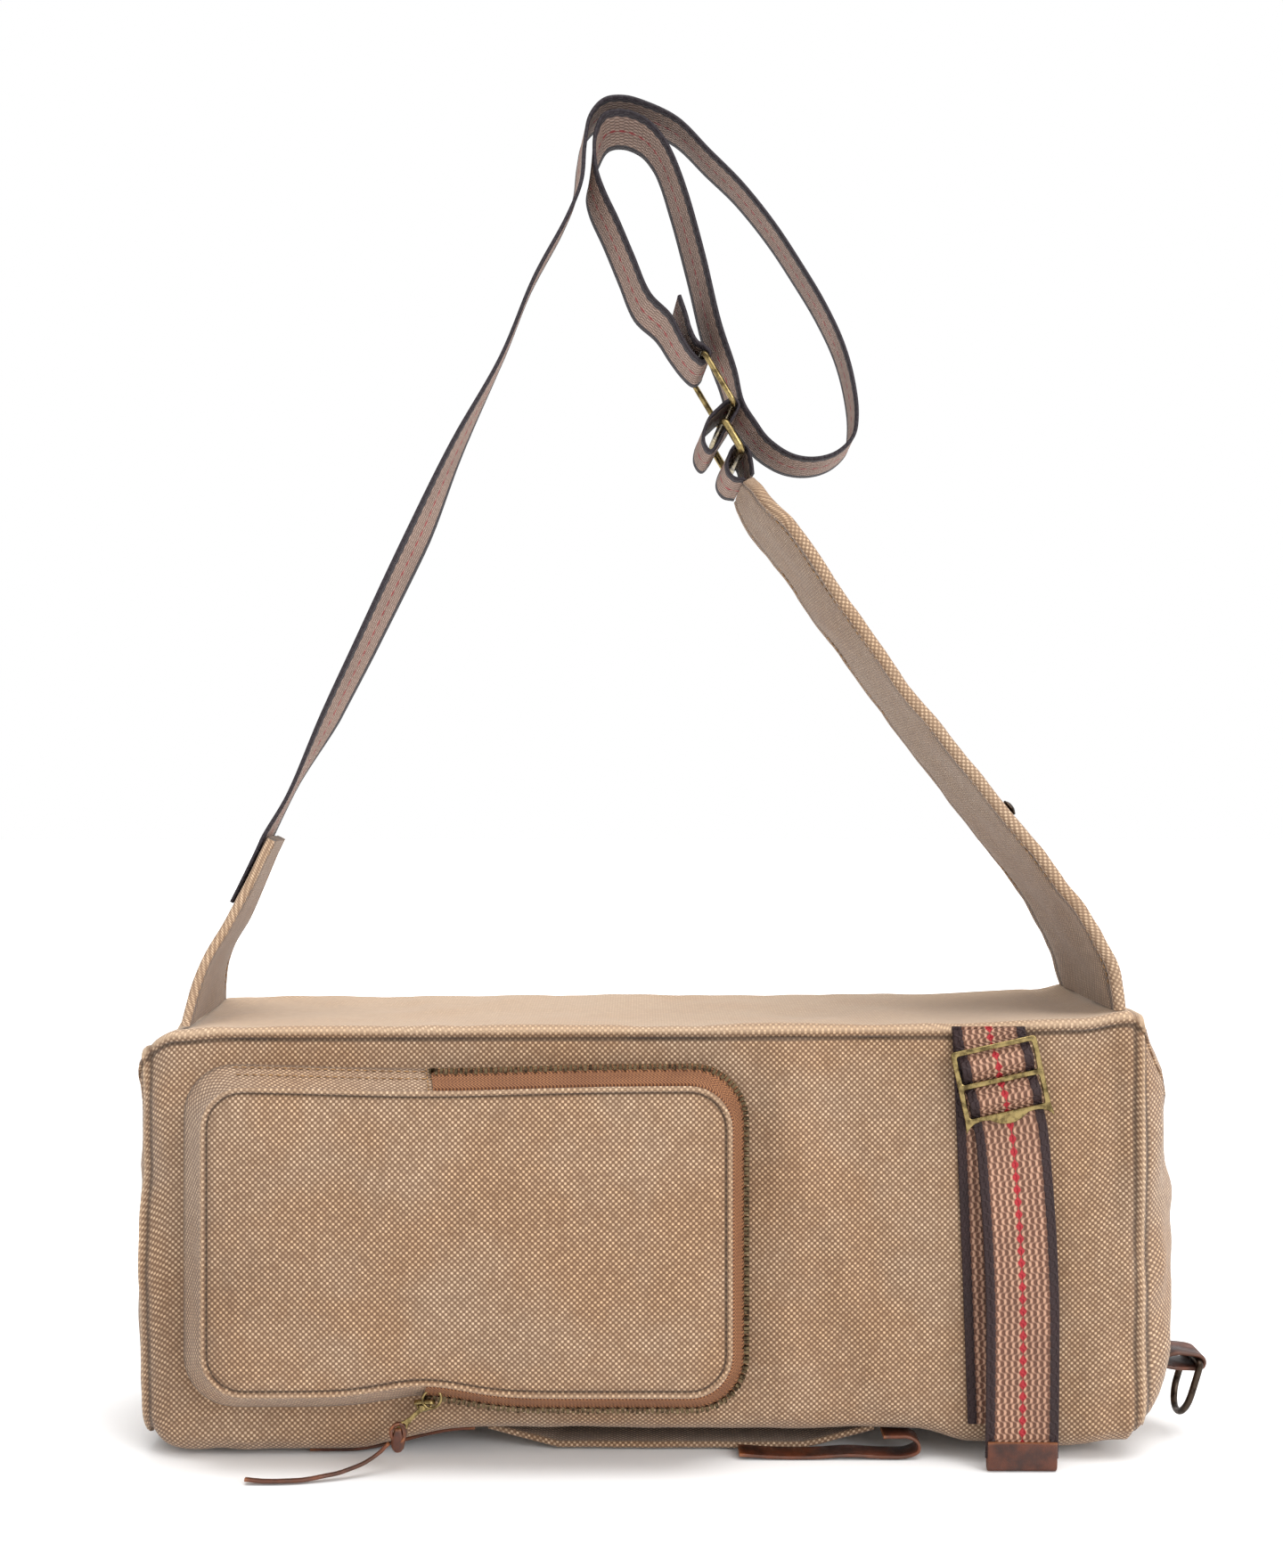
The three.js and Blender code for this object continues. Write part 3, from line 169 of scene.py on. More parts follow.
def smooth_path(points, steps, closed=False):
    """Points on a centripetal Catmull-Rom curve, the CAD's kind, with the given steps to a span."""
    points = [Vector(p) for p in points]
    count = len(points)
    spans = count if closed else count - 1
    made = []
    for i in range(spans * steps + (0 if closed else 1)):
        span, t = min(i // steps, spans - 1), i / steps
        t -= span
        if closed:
            p = [points[(span + k) % count] for k in (-1, 0, 1, 2)]
        else:
            first = points[span - 1] if span > 0 else 2 * points[0] - points[1]
            last = points[span + 2] if span + 2 < count else 2 * points[-1] - points[-2]
            p = [first, points[span], points[span + 1], last]
        d0, d1, d2 = (max((b - a).length, 1e-3) ** 0.5 for a, b in zip(p, p[1:]))
        m1 = ((p[1] - p[0]) / d0 - (p[2] - p[0]) / (d0 + d1) + (p[2] - p[1]) / d1) * d1
        m2 = ((p[2] - p[1]) / d1 - (p[3] - p[1]) / (d1 + d2) + (p[3] - p[2]) / d2) * d1
        c2 = 3 * (p[2] - p[1]) - 2 * m1 - m2
        c3 = 2 * (p[1] - p[2]) + m1 + m2
        made.append(p[1] + m1 * t + c2 * t * t + c3 * t * t * t)
    return made


def fine_then_even(length, fine, fine_steps, even_steps):
    """Distances from 0 to length: close together over the first stretch, then evenly spaced."""
    close = [fine * i / fine_steps for i in range(fine_steps)]
    return close + [lerp(fine, length, i / even_steps) for i in range(even_steps + 1)]


# Mesh building


def new_skin():
    skin = bmesh.new()
    skin.loops.layers.uv.new("cloth")
    skin.verts.layers.float.new("painted_shading")
    return skin


def add_rings(skin, rings, uvs=None, caps=False, painted_shadings=None):
    """Joins rows of points with quads. A row that ends where it starts makes a tube.

    Points are millimetres in the bag's frame. Cloth coordinates are millimetres along and across the cloth.
    Painted shading is 1 for painted shade in seam grooves and -1 for painted highlight on raised edges and on
    faces turned upwards.
    """
    layer = skin.loops.layers.uv.active
    rows = [[skin.verts.new(place(point)) for point in ring] for ring in rings]
    if painted_shadings:
        painted_shading_layer = skin.verts.layers.float["painted_shading"]
        for row, values in zip(rows, painted_shadings):
            for vertex, value in zip(row, values):
                vertex[painted_shading_layer] = value
    if uvs is None:
        uvs = [[(i, j) for j in range(len(ring))] for i, ring in enumerate(rings)]
    for i in range(len(rows) - 1):
        for j in range(len(rows[0]) - 1):
            corners = [(i, j), (i + 1, j), (i + 1, j + 1), (i, j + 1)]
            face = skin.faces.new([rows[a][b] for a, b in corners])
            for loop, (a, b) in zip(face.loops, corners):
                loop[layer].uv = Vector(uvs[a][b]) * MM
    if caps:
        for i in (0, len(rows) - 1):
            face = skin.faces.new(rows[i][:-1])
            for j, loop in enumerate(face.loops):
                loop[layer].uv = Vector(uvs[i][j]) * MM


def finish_piece(skin, name, material, replaced=(), body="bag", crease=50):
    """Turns a skin into a finished piece that rides on its body and stands for its CAD nodes."""
    bmesh.ops.remove_doubles(skin, verts=skin.verts, dist=1e-5)
    bmesh.ops.recalc_face_normals(skin, faces=skin.faces)
    mesh = bpy.data.meshes.new(name)
    skin.to_mesh(mesh)
    skin.free()
    return dress_mesh(mesh, name, finish(material), replaced, body, crease)


def dress_mesh(mesh, name, material, replaced=(), body="bag", crease=50):
    """Makes an object of a mesh, and gives it its material, body and the nodes that it replaces."""
    mesh.materials.clear()
    mesh.materials.append(material)
    mesh.shade_smooth()
    mesh.set_sharp_from_angle(angle=math.radians(crease))
    piece = bpy.data.objects.new(name, mesh)
    bpy.context.scene.collection.objects.link(piece)
    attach(piece, body)
    if replaced:
        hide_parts(*replaced)
    return piece


def strap_rings(stations, steps, section, closed=False, lift=None):
    """Rings round a flat strap and their cloth coordinates.

    A station is one edge of the strap and the vector across to its other edge. The section gives
    points (across, out) for a width and a distance along. Lift moves a point out by a wrinkle.
    """
    edges = smooth_path([edge for edge, _ in stations], steps, closed)
    spans = smooth_path([across for _, across in stations], steps, closed)
    count = len(edges)
    rings, uvs, run = [], [], 0.0
    for i, (edge, span) in enumerate(zip(edges, spans)):
        before = edges[i - 1] if i > 0 or closed else edges[0]
        after = edges[(i + 1) % count] if i < count - 1 or closed else edges[-1]
        out = (after - before).cross(span).normalized()
        side = span.normalized()
        if i:
            run += (edge - edges[i - 1]).length
        ring = []
        outline = section(span.length, run)
        for across, away in outline:
            fold = lift(run, across) if lift else 0.0
            ring.append(edge + side * across + out * (away + fold))
        rings.append(ring)
        uvs.append([(run, across) for across, _ in outline])
    if closed:
        rings.append(rings[0])
        run += (edges[0] - edges[-1]).length
        uvs.append([(run, across) for _, across in uvs[0]])
    return rings, uvs


def strap_piece(name, stations, steps, section, material, node, closed=False, lift=None):
    """Builds one strap through its stations as a finished piece in place of a CAD node."""
    skin = new_skin()
    rings, uvs = strap_rings(stations, steps, section, closed, lift)
    add_rings(skin, rings, uvs, caps=not closed)
    finish_piece(skin, name, material, (node,))


def webbing_section(thickness, selvedge=0.25, across_steps=10):
    """A flat woven section with round, slightly thicker selvedges."""

    def section(width, run):
        half = thickness / 2
        edge = half * (1 + selvedge * (bump(0, 1.6, 1.3) + bump(width, 1.6, 1.3)))
        points = []
        for k in range(across_steps + 1):
            a = half + (width - 2 * half) * k / across_steps
            points.append((a, half * (1 + selvedge * (bump(a, 1.6, 1.6) + bump(a, width - 1.6, 1.6)))))
        for angle in (60, 30, 0, -30, -60):
            turn = math.radians(angle)
            points.append((width - half + half * math.cos(turn), edge * math.sin(turn)))
        points += [(a, -b) for a, b in reversed(points[: across_steps + 1])]
        for angle in (240, 210, 180, 150, 120):
            turn = math.radians(angle)
            points.append((half + half * math.cos(turn), edge * math.sin(turn)))
        points.append(points[0])
        return points

    return section


def padded_section(thickness, seam_in, steps=22):
    """A padded strap: full rolled edges, sewn channels inside them and a soft crown between."""

    def section(width, run):
        half = thickness / 2
        seam = min(seam_in, width * 0.22)
        points = []
        for k in range(steps + 1):
            a = half * 0.7 + (width - 1.4 * half) * (0.5 - 0.5 * math.cos(math.pi * k / steps))
            crown = 0.16 * math.sin(math.pi * a / width)
            channel = 0.3 * (bump(a, seam, 1.3) + bump(a, width - seam, 1.3))
            points.append((a, half * (1 + crown - channel)))
        side = []
        for angle in (60, 30, 0, -30, -60):
            turn = math.radians(angle)
            side.append((width - 0.7 * half + 0.7 * half * math.cos(turn), half * math.sin(turn)))
        low = [(a, -b) for a, b in reversed(points)]
        near = [(width - a, -b) for a, b in side]
        return [*points, *side, *low, *near, points[0]]

    return section


def wire_rings(path, radius, sides):
    """Rings round a closed wire that follows a smooth path."""
    rings = []
    spoke = None
    for i, middle in enumerate(path):
        along = (path[(i + 1) % len(path)] - path[i - 1]).normalized()
        if spoke is None:
            spoke = along.orthogonal().normalized()
        spoke = (spoke - along * spoke.dot(along)).normalized()
        other = along.cross(spoke)
        ring = []
        for k in range(sides + 1):
            angle = 2 * math.pi * (k % sides) / sides
            ring.append(middle + (spoke * math.cos(angle) + other * math.sin(angle)) * radius)
        rings.append(ring)
    # The spoke has turned a little on its way round, so the last ring meets the nearest corner.
    first, last = rings[0], rings[-1]
    shift = min(range(sides), key=lambda s: (first[s] - last[0]).length)
    rings.append([first[(k + shift) % sides] for k in range(sides + 1)])
    return rings


def rounded_outline(half_width, half_height, corner, per_corner):
    points = []
    for quarter, (sx, sy) in enumerate([(1, 1), (-1, 1), (-1, -1), (1, -1)]):
        for i in range(per_corner + 1):
            angle = (quarter + i / per_corner) * math.pi / 2
            x = sx * (half_width - corner) + corner * math.cos(angle)
            y = sy * (half_height - corner) + corner * math.sin(angle)
            points.append((x, y))
    return points


def flat_plate(outlines, thickness, edge):
    """A flat plate in mm with rounded edges, cut from outlines: its rim first, then its holes."""
    curve = bpy.data.curves.new("plate", "CURVE")
    curve.dimensions = "2D"
    curve.fill_mode = "BOTH"
    curve.extrude = thickness / 2 - edge
    curve.bevel_depth = edge
    curve.bevel_resolution = 2
    curve.offset = -edge
    for outline in outlines:
        spline = curve.splines.new("POLY")
        spline.points.add(len(outline) - 1)
        for point, (x, y) in zip(spline.points, outline):
            point.co = (x, y, 0, 1)
        spline.use_cyclic_u = True
    holder = bpy.data.objects.new("plate", curve)
    bpy.context.scene.collection.objects.link(holder)
    graph = bpy.context.evaluated_depsgraph_get()
    mesh = bpy.data.meshes.new_from_object(holder.evaluated_get(graph))
    bpy.data.objects.remove(holder)
    bpy.data.curves.remove(curve)
    return mesh


def set_in_place(mesh, centre, x_axis, y_axis, z_axis):
    """Moves a mesh drawn in millimetres to its centre and axes in the bag's frame, in metres."""
    turn = Matrix((x_axis, y_axis, z_axis)).transposed().to_4x4()
    mesh.transform(Matrix.Translation(place(centre)) @ turn @ Matrix.Scale(MM, 4))
    return mesh


def join_mesh(skin, mesh):
    """Adds a plain mesh, already in the row's frame, to a skin."""
    skin.from_mesh(mesh)
    bpy.data.meshes.remove(mesh)


# Repeats along a path


def repeat_tree(shape):
    """A Geometry Nodes tree that sets a small shape along guide lines, turned by their out vector."""
    name = f"repeat_{shape}"
    if name in bpy.data.node_groups:
        return bpy.data.node_groups[name]
    tree = bpy.data.node_groups.new(name, "GeometryNodeTree")
    tree.interface.new_socket(name="Guide", in_out="INPUT", socket_type="NodeSocketGeometry")
    for label in ("Spacing", "Length", "Width", "Height", "Stagger"):
        tree.interface.new_socket(name=label, in_out="INPUT", socket_type="NodeSocketFloat")
    tree.interface.new_socket(name="Material", in_out="INPUT", socket_type="NodeSocketMaterial")
    tree.interface.new_socket(name="Result", in_out="OUTPUT", socket_type="NodeSocketGeometry")
    given = add_node(tree, "NodeGroupInput").outputs
    line = add_node(tree, "GeometryNodeMeshToCurve", {}, {"Mesh": given["Guide"]})
    spaced = {"Curve": line, "Length": given["Spacing"]}
    steps = add_node(tree, "GeometryNodeResampleCurve", {"mode": "LENGTH"}, spaced)
    along = add_node(tree, "GeometryNodeInputTangent")
    out = add_node(tree, "GeometryNodeInputNamedAttribute", {"data_type": "FLOAT_VECTOR"}, {"Name": "out"})
    axes = {"primary_axis": "X", "secondary_axis": "Z"}
    turn = add_node(tree, "FunctionNodeAxesToRotation", axes, {"Primary Axis": along, "Secondary Axis": out})
    across = add_node(tree, "ShaderNodeVectorMath", {"operation": "CROSS_PRODUCT"}, {0: along, 1: out})
    # Every second copy is set to the other side of the line, half the stagger away from it.
    index = add_node(tree, "GeometryNodeInputIndex")
    odd = add_node(tree, "ShaderNodeMath", {"operation": "MODULO"}, {0: index, 1: 2.0})
    side = add_node(tree, "ShaderNodeMath", {"operation": "SUBTRACT"}, {0: odd, 1: 0.5})
    reach = add_node(tree, "ShaderNodeMath", {"operation": "MULTIPLY"}, {0: side, 1: given["Stagger"]})
    shift = add_node(tree, "ShaderNodeVectorMath", {"operation": "SCALE"}, {0: across, "Scale": reach})
    moved = add_node(tree, "GeometryNodeSetPosition", {}, {"Geometry": steps, "Offset": shift})
    if shape == "stitch":
        unit = add_node(tree, "GeometryNodeMeshUVSphere", {}, {"Segments": 6, "Rings": 4, "Radius": 0.5})
    else:
        unit = add_node(tree, "GeometryNodeMeshCube", {}, {"Size": (1, 1, 1)})
    sizes = {"X": given["Length"], "Y": given["Width"], "Z": given["Height"]}
    size = add_node(tree, "ShaderNodeCombineXYZ", {}, sizes)
    settled = {"Points": moved, "Instance": unit, "Rotation": turn, "Scale": size}
    copies = add_node(tree, "GeometryNodeInstanceOnPoints", {}, settled)
    real = add_node(tree, "GeometryNodeRealizeInstances", {}, {"Geometry": copies})
    covered = {"Geometry": real, "Material": given["Material"]}
    painted = add_node(tree, "GeometryNodeSetMaterial", {}, covered)
    add_node(tree, "NodeGroupOutput", {}, {"Result": painted})
    return tree


def repeat_along(name, rows, shape, sizes, material, replaced=()):
    """Sets small shapes along rows of (point, out) pairs and bakes them to one plain mesh.

    Sizes are spacing, length, width, height and stagger in millimetres.
    """
    guide = bpy.data.meshes.new("guide")
    points, edges, outs = [], [], []
    for row in rows:
        start = len(points)
        points += [place(point) for point, _ in row]
        outs += [component for _, out in row for component in out]
        edges += [(start + i, start + i + 1) for i in range(len(row) - 1)]
    guide.from_pydata(points, edges, [])
    guide.attributes.new("out", "FLOAT_VECTOR", "POINT").data.foreach_set("vector", outs)
    holder = bpy.data.objects.new("guide", guide)
    bpy.context.scene.collection.objects.link(holder)
    tree = repeat_tree(shape)
    modifier = holder.modifiers.new("repeat", "NODES")
    modifier.node_group = tree
    labels = ("Spacing", "Length", "Width", "Height", "Stagger")
    values = {label: size * MM for label, size in zip(labels, sizes)}
    values["Material"] = material
    for item in tree.interface.items_tree:
        if item.name in values:
            modifier[item.identifier] = values[item.name]
    graph = bpy.context.evaluated_depsgraph_get()
    mesh = bpy.data.meshes.new_from_object(holder.evaluated_get(graph))
    mesh.name = name
    holder.modifiers.remove(modifier)
    bpy.data.objects.remove(holder)
    return dress_mesh(mesh, name, material, replaced, crease=40 if shape == "tooth" else 80)


# Materials

TURN = 2 * math.pi / MM
# The threads of a webbing's middle line surface once every five millimetres or so.
DIAMOND_PITCH = 5.3
SMOOTH = {"interpolation_type": "SMOOTHSTEP"}
BLEND = {"data_type": "RGBA"}
SOFT_BLEND = {"data_type": "RGBA", "blend_type": "SOFT_LIGHT"}
DARK_BLEND = {"data_type": "RGBA", "blend_type": "MULTIPLY"}
TIMES = {"operation": "MULTIPLY"}
TIMES_AND_PLUS = {"operation": "MULTIPLY_ADD"}


def set_inputs(tree, node, inputs):
    """Sets a node's inputs to values, sockets, or the first live output of other nodes."""
    for key, value in inputs.items():
        if isinstance(value, bpy.types.Node):
            value = next(socket for socket in value.outputs if socket.enabled)
        if isinstance(value, bpy.types.NodeSocket):
            tree.links.new(value, node.inputs[key])
        else:
            node.inputs[key].default_value = value


def add_node(tree, kind, settings=None, inputs=None):
    """Adds a node with its settings and its inputs."""
    made = tree.nodes.new(kind)
    for name, value in (settings or {}).items():
        setattr(made, name, value)
    set_inputs(tree, made, inputs or {})
    return made


def new_material(name):
    material = bpy.data.materials.new(name)
    material.use_nodes = True
    tree = material.node_tree
    return material, tree, tree.nodes["Principled BSDF"]


def rgba(colour):
    return (*colour, 1.0)


def weave_dots(tree, along_pitch, across_pitch, sway=0.0):
    """Staggered yarn crossings from the cloth coordinates. Returns the dots and both coordinates."""
    cloth = add_node(tree, "ShaderNodeUVMap", {"uv_map": "cloth"})
    parts = add_node(tree, "ShaderNodeSeparateXYZ", {}, {0: cloth})
    along, across = parts.outputs["X"], parts.outputs["Y"]
    u = add_node(tree, "ShaderNodeMath", TIMES, {0: along, 1: TURN / along_pitch})
    u_wave = add_node(tree, "ShaderNodeMath", {"operation": "SINE"}, {0: u})
    v = add_node(tree, "ShaderNodeMath", TIMES, {0: across, 1: TURN / across_pitch})
    v_moved = add_node(tree, "ShaderNodeMath", TIMES_AND_PLUS, {0: u_wave, 1: sway, 2: v})
    v_wave = add_node(tree, "ShaderNodeMath", {"operation": "SINE"}, {0: v_moved})
    dots = add_node(tree, "ShaderNodeMath", TIMES, {0: u_wave, 1: v_wave})
    return dots, along, across


def cloud(tree, cells, detail, roughness=0.55):
    """Cloudy values on the object's own coordinates, with so many cells to a metre."""
    where = add_node(tree, "ShaderNodeTexCoord").outputs["Object"]
    inputs = {"Vector": where, "Scale": cells, "Detail": detail, "Roughness": roughness}
    return add_node(tree, "ShaderNodeTexNoise", {}, inputs).outputs["Fac"]


def stains(tree, cells, detail, roughness, low, high, lightest=0.0, darkest=1.0):
    """Clouds with soft borders, spread between two strengths."""
    fac = cloud(tree, cells, detail, roughness)
    return add_node(tree, "ShaderNodeMapRange", SMOOTH, {0: fac, 1: low, 2: high, 3: lightest, 4: darkest})


def washed_duck(name):
    # Washed cotton duck: coarse plain weave whose pale yarn crossings stand as dots on a brown ground,
    # worn paler in soft patches, with painted shade in its seam grooves and painted highlight on its ridges
    # and upward faces. It looks dry, a little fuzzy at grazing angles.
    colours = bpy.context.scene.sling_bag_colours
    pitch = bpy.context.scene.sling_bag_sizes.canvas_pitch
    ground, pale_yarn = rgba(colours.canvas_ground), rgba(colours.canvas_yarn)
    material, tree, shader = new_material(name)
    # The real dots are about 1.4 mm apart. These are 1.8 mm apart, coarser so that they show.
    dots, _, _ = weave_dots(tree, pitch, pitch)
    yarn = add_node(tree, "ShaderNodeMapRange", SMOOTH, {0: dots, 1: -0.25, 2: 0.8})
    slub = stains(tree, 330, 2, 0.55, 0.3, 0.72, 0.45, 1.0)
    crossing = add_node(tree, "ShaderNodeMath", TIMES, {0: yarn, 1: slub})
    base = add_node(tree, "ShaderNodeMix", BLEND, {0: crossing, 6: ground, 7: pale_yarn})
    patches = stains(tree, 17, 5, 0.6, 0.36, 0.66, 0.0, 0.8)
    faded = add_node(tree, "ShaderNodeMix", SOFT_BLEND, {0: patches, 6: base, 7: rgba(colours.canvas_faded)})
    grime = stains(tree, 6, 3, 0.55, 0.52, 0.74, 0.0, 0.22)
    worn = add_node(tree, "ShaderNodeMix", DARK_BLEND, {0: grime, 6: faded, 7: ground})
    # Painted shade darkens the seam grooves towards the seam shade colour, and painted highlight pales ridges
    # and upward faces towards the yarn colour.
    painted_shading = add_node(tree, "ShaderNodeAttribute", {"attribute_name": "painted_shading"}).outputs["Fac"]
    dark = add_node(tree, "ShaderNodeMapRange", SMOOTH, {0: painted_shading, 1: 0.05, 2: 0.9, 4: 0.75})
    seams = add_node(tree, "ShaderNodeMix", BLEND, {0: dark, 6: worn, 7: rgba(colours.canvas_seam_shade)})
    light = add_node(tree, "ShaderNodeMapRange", SMOOTH, {0: painted_shading, 1: -1.0, 2: 0.0, 3: 0.5, 4: 0.0})
    made_paler = add_node(tree, "ShaderNodeMix", BLEND, {0: light, 6: seams, 7: pale_yarn})
    relief = {"Height": crossing, "Distance": 0.28 * MM, "Strength": 0.75}
    inputs = {
        "Base Color": made_paler,
        "Roughness": 0.88,
        "Sheen Weight": 0.14,
        "Sheen Roughness": 0.5,
        "Normal": add_node(tree, "ShaderNodeBump", {}, relief),
    }
    set_inputs(tree, shader, inputs)
    return material


def striped_webbing(name, width, edge, line, colours, pitch, sway, depth):
    """Woven webbing: a main field, dark selvedge stripes and a dotted line along its middle."""
    material, tree, shader = new_material(name)
    main, shade, selvedge, middle_line = (rgba(colour) for colour in colours)
    dots, along, across = weave_dots(tree, pitch[0], pitch[1], sway)
    field = add_node(tree, "ShaderNodeMapRange", SMOOTH, {0: dots, 1: -0.5, 2: 0.7})
    plain = add_node(tree, "ShaderNodeMix", BLEND, {0: field, 6: shade, 7: main})
    middle = add_node(tree, "ShaderNodeMath", {"operation": "SUBTRACT"}, {0: across, 1: width / 2 * MM})
    off = add_node(tree, "ShaderNodeMath", {"operation": "ABSOLUTE"}, {0: middle})
    ripple = add_node(tree, "ShaderNodeMath", TIMES_AND_PLUS, {0: dots, 1: 0.5 * MM, 2: off})
    stripe = width / 2 - edge
    limits = {0: ripple, 1: (stripe - 0.3) * MM, 2: (stripe + 0.3) * MM}
    border = add_node(tree, "ShaderNodeMapRange", SMOOTH, limits)
    edged = add_node(tree, "ShaderNodeMix", BLEND, {0: border, 6: plain, 7: selvedge})
    beat = add_node(tree, "ShaderNodeMath", TIMES, {0: along, 1: TURN / DIAMOND_PITCH})
    swell = add_node(tree, "ShaderNodeMath", {"operation": "COSINE"}, {0: beat})
    diamond = add_node(tree, "ShaderNodeMath", TIMES_AND_PLUS, {0: swell, 1: -line / 2 * MM, 2: off})
    limits = {0: diamond, 1: 0.4 * line * MM, 2: 0.8 * line * MM, 3: 1.0, 4: 0.0}
    centre = add_node(tree, "ShaderNodeMapRange", SMOOTH, limits)
    striped = add_node(tree, "ShaderNodeMix", BLEND, {0: centre, 6: edged, 7: middle_line})
    patches = stains(tree, 40, 4, 0.55, 0.35, 0.75, 0.0, 0.25)
    worn = add_node(tree, "ShaderNodeMix", DARK_BLEND, {0: patches, 6: striped, 7: shade})
    relief = add_node(tree, "ShaderNodeBump", {}, {"Height": field, "Distance": depth * MM, "Strength": 0.9})
    set_inputs(tree, shader, {"Base Color": worn, "Roughness": 0.72, "Normal": relief})
    return material


def band_webbing(name):
    # Thick polished cotton webbing: pale pink-tan floats over a darker ground, near-black burgundy
    # selvedges and a line of small red diamonds. The floats catch the light.
    c = bpy.context.scene.sling_bag_colours
    colours = (c.band_main, c.band_shade, c.band_edge, c.band_line)
    # Floats are 1.5 mm wide and their rows 2.7 mm apart, near the real webbing's.
    return striped_webbing(name, BAND_WIDTH, 4.3, 1.5, colours, (5.4, 2.9), 1.1, 0.7)


def strap_webbing_material(name):
    # The same kind of webbing, greyer and flatter, with plum-navy selvedges and a faint dark red line.
    c = bpy.context.scene.sling_bag_colours
    colours = (c.strap_main, c.strap_shade, c.strap_edge, c.strap_line)
    return striped_webbing(name, WEBBING_WIDTH, 5.2, 1.2, colours, (5.0, 2.9), 0.8, 0.5)


def zip_tape(name):
    # Woven zip tape: a fine brown herringbone, matt.
    c = bpy.context.scene.sling_bag_colours
    material, tree, shader = new_material(name)
    cloth = add_node(tree, "ShaderNodeUVMap", {"uv_map": "cloth"})
    parts = add_node(tree, "ShaderNodeSeparateXYZ", {}, {0: cloth})
    # The twill turns back every 2.5 mm, and its ribs are 1.6 mm apart, coarser than the real 0.8 mm.
    turned = {0: parts.outputs["Y"], 1: 2.5 * MM}
    folded = add_node(tree, "ShaderNodeMath", {"operation": "PINGPONG"}, turned)
    slant = add_node(tree, "ShaderNodeMath", {"operation": "ADD"}, {0: parts.outputs["X"], 1: folded})
    turns = add_node(tree, "ShaderNodeMath", TIMES, {0: slant, 1: TURN / 1.6})
    rib = add_node(tree, "ShaderNodeMath", {"operation": "SINE"}, {0: turns})
    height = add_node(tree, "ShaderNodeMapRange", SMOOTH, {0: rib, 1: -0.8, 2: 0.8})
    shade = rgba(c.tape_shade)
    base = add_node(tree, "ShaderNodeMix", BLEND, {0: height, 6: shade, 7: rgba(c.tape_main)})
    patches = stains(tree, 60, 3, 0.55, 0.4, 0.7, 0.0, 0.3)
    worn = add_node(tree, "ShaderNodeMix", BLEND, {0: patches, 6: base, 7: shade})
    relief = add_node(tree, "ShaderNodeBump", {}, {"Height": height, "Distance": 0.2 * MM, "Strength": 1.0})
    set_inputs(tree, shader, {"Base Color": worn, "Roughness": 0.8, "Normal": relief})
    return material


def oiled_leather(name):
    # Pull-up cowhide: waxed, red-brown, paler where it bends and wears, with a fine pebbled grain.
    c = bpy.context.scene.sling_bag_colours
    material, tree, shader = new_material(name)
    mottle = stains(tree, 70, 5, 0.6, 0.35, 0.68)
    dark, main = rgba(c.leather_dark), rgba(c.leather_main)
    base = add_node(tree, "ShaderNodeMix", BLEND, {0: mottle, 6: dark, 7: main})
    bends = add_node(tree, "ShaderNodeNewGeometry").outputs["Pointiness"]
    wear = add_node(tree, "ShaderNodeMapRange", SMOOTH, {0: bends, 1: 0.52, 2: 0.6, 4: 0.7})
    worn = add_node(tree, "ShaderNodeMix", BLEND, {0: wear, 6: base, 7: rgba(c.leather_edge)})
    gloss = stains(tree, 120, 3, 0.55, 0.3, 0.7, 0.36, 0.62)
    where = add_node(tree, "ShaderNodeTexCoord").outputs["Object"]
    # Grain cells are about 0.9 mm wide.
    cells = {"Vector": where, "Scale": 1100}
    grain = add_node(tree, "ShaderNodeTexVoronoi", {"feature": "DISTANCE_TO_EDGE"}, cells).outputs["Distance"]
    pebbles = add_node(tree, "ShaderNodeMapRange", SMOOTH, {0: grain, 1: 0.0, 2: 0.35})
    relief = add_node(tree, "ShaderNodeBump", {}, {"Height": pebbles, "Distance": 0.12 * MM, "Strength": 0.6})
    set_inputs(tree, shader, {"Base Color": worn, "Roughness": gloss, "Normal": relief})
    return material


def mottled_finish(name, colours, spots, metallic):
    """A finish clouded with a second colour. Spots are its cells, detail, roughness and limits."""
    material, tree, shader = new_material(name)
    main, shade = (rgba(colour) for colour in colours)
    stain = add_node(tree, "ShaderNodeMix", BLEND, {0: stains(tree, *spots), 6: main, 7: shade})
    set_inputs(tree, shader, {"Base Color": stain, "Metallic": metallic})
    return material, tree, shader


def aged_brass(name):
    # Antique-plated brass: yellow metal that shows through an olive-brown patina, polished on what rubs.
    c = bpy.context.scene.sling_bag_colours
    colours = (c.brass_main, c.brass_patina)
    material, tree, shader = mottled_finish(name, colours, (240, 5, 0.65, 0.4, 0.66), 1.0)
    dull = stains(tree, 420, 3, 0.55, 0.3, 0.7, 0.2, 0.4)
    pits = {"Height": cloud(tree, 700, 2), "Distance": 0.03 * MM, "Strength": 0.5}
    set_inputs(tree, shader, {"Roughness": dull, "Normal": add_node(tree, "ShaderNodeBump", {}, pits)})
    return material


def dark_bronze(name):
    # Oxidised bronze plating: nearly black brown, with a low satin gloss.
    c = bpy.context.scene.sling_bag_colours
    colours = (c.bronze_main, c.bronze_shade)
    material, tree, shader = mottled_finish(name, colours, (300, 4, 0.55, 0.4, 0.7), 1.0)
    set_inputs(tree, shader, {"Roughness": stains(tree, 500, 3, 0.55, 0.3, 0.7, 0.28, 0.5)})
    return material


def zip_metal(name):
    # Antique brass zip teeth: small, worn on their tops and dark between.
    c = bpy.context.scene.sling_bag_colours
    colours = (c.teeth_main, c.teeth_shade)
    material, tree, shader = mottled_finish(name, colours, (500, 3, 0.55, 0.35, 0.7), 0.9)
    set_inputs(tree, shader, {"Roughness": 0.42})
    return material


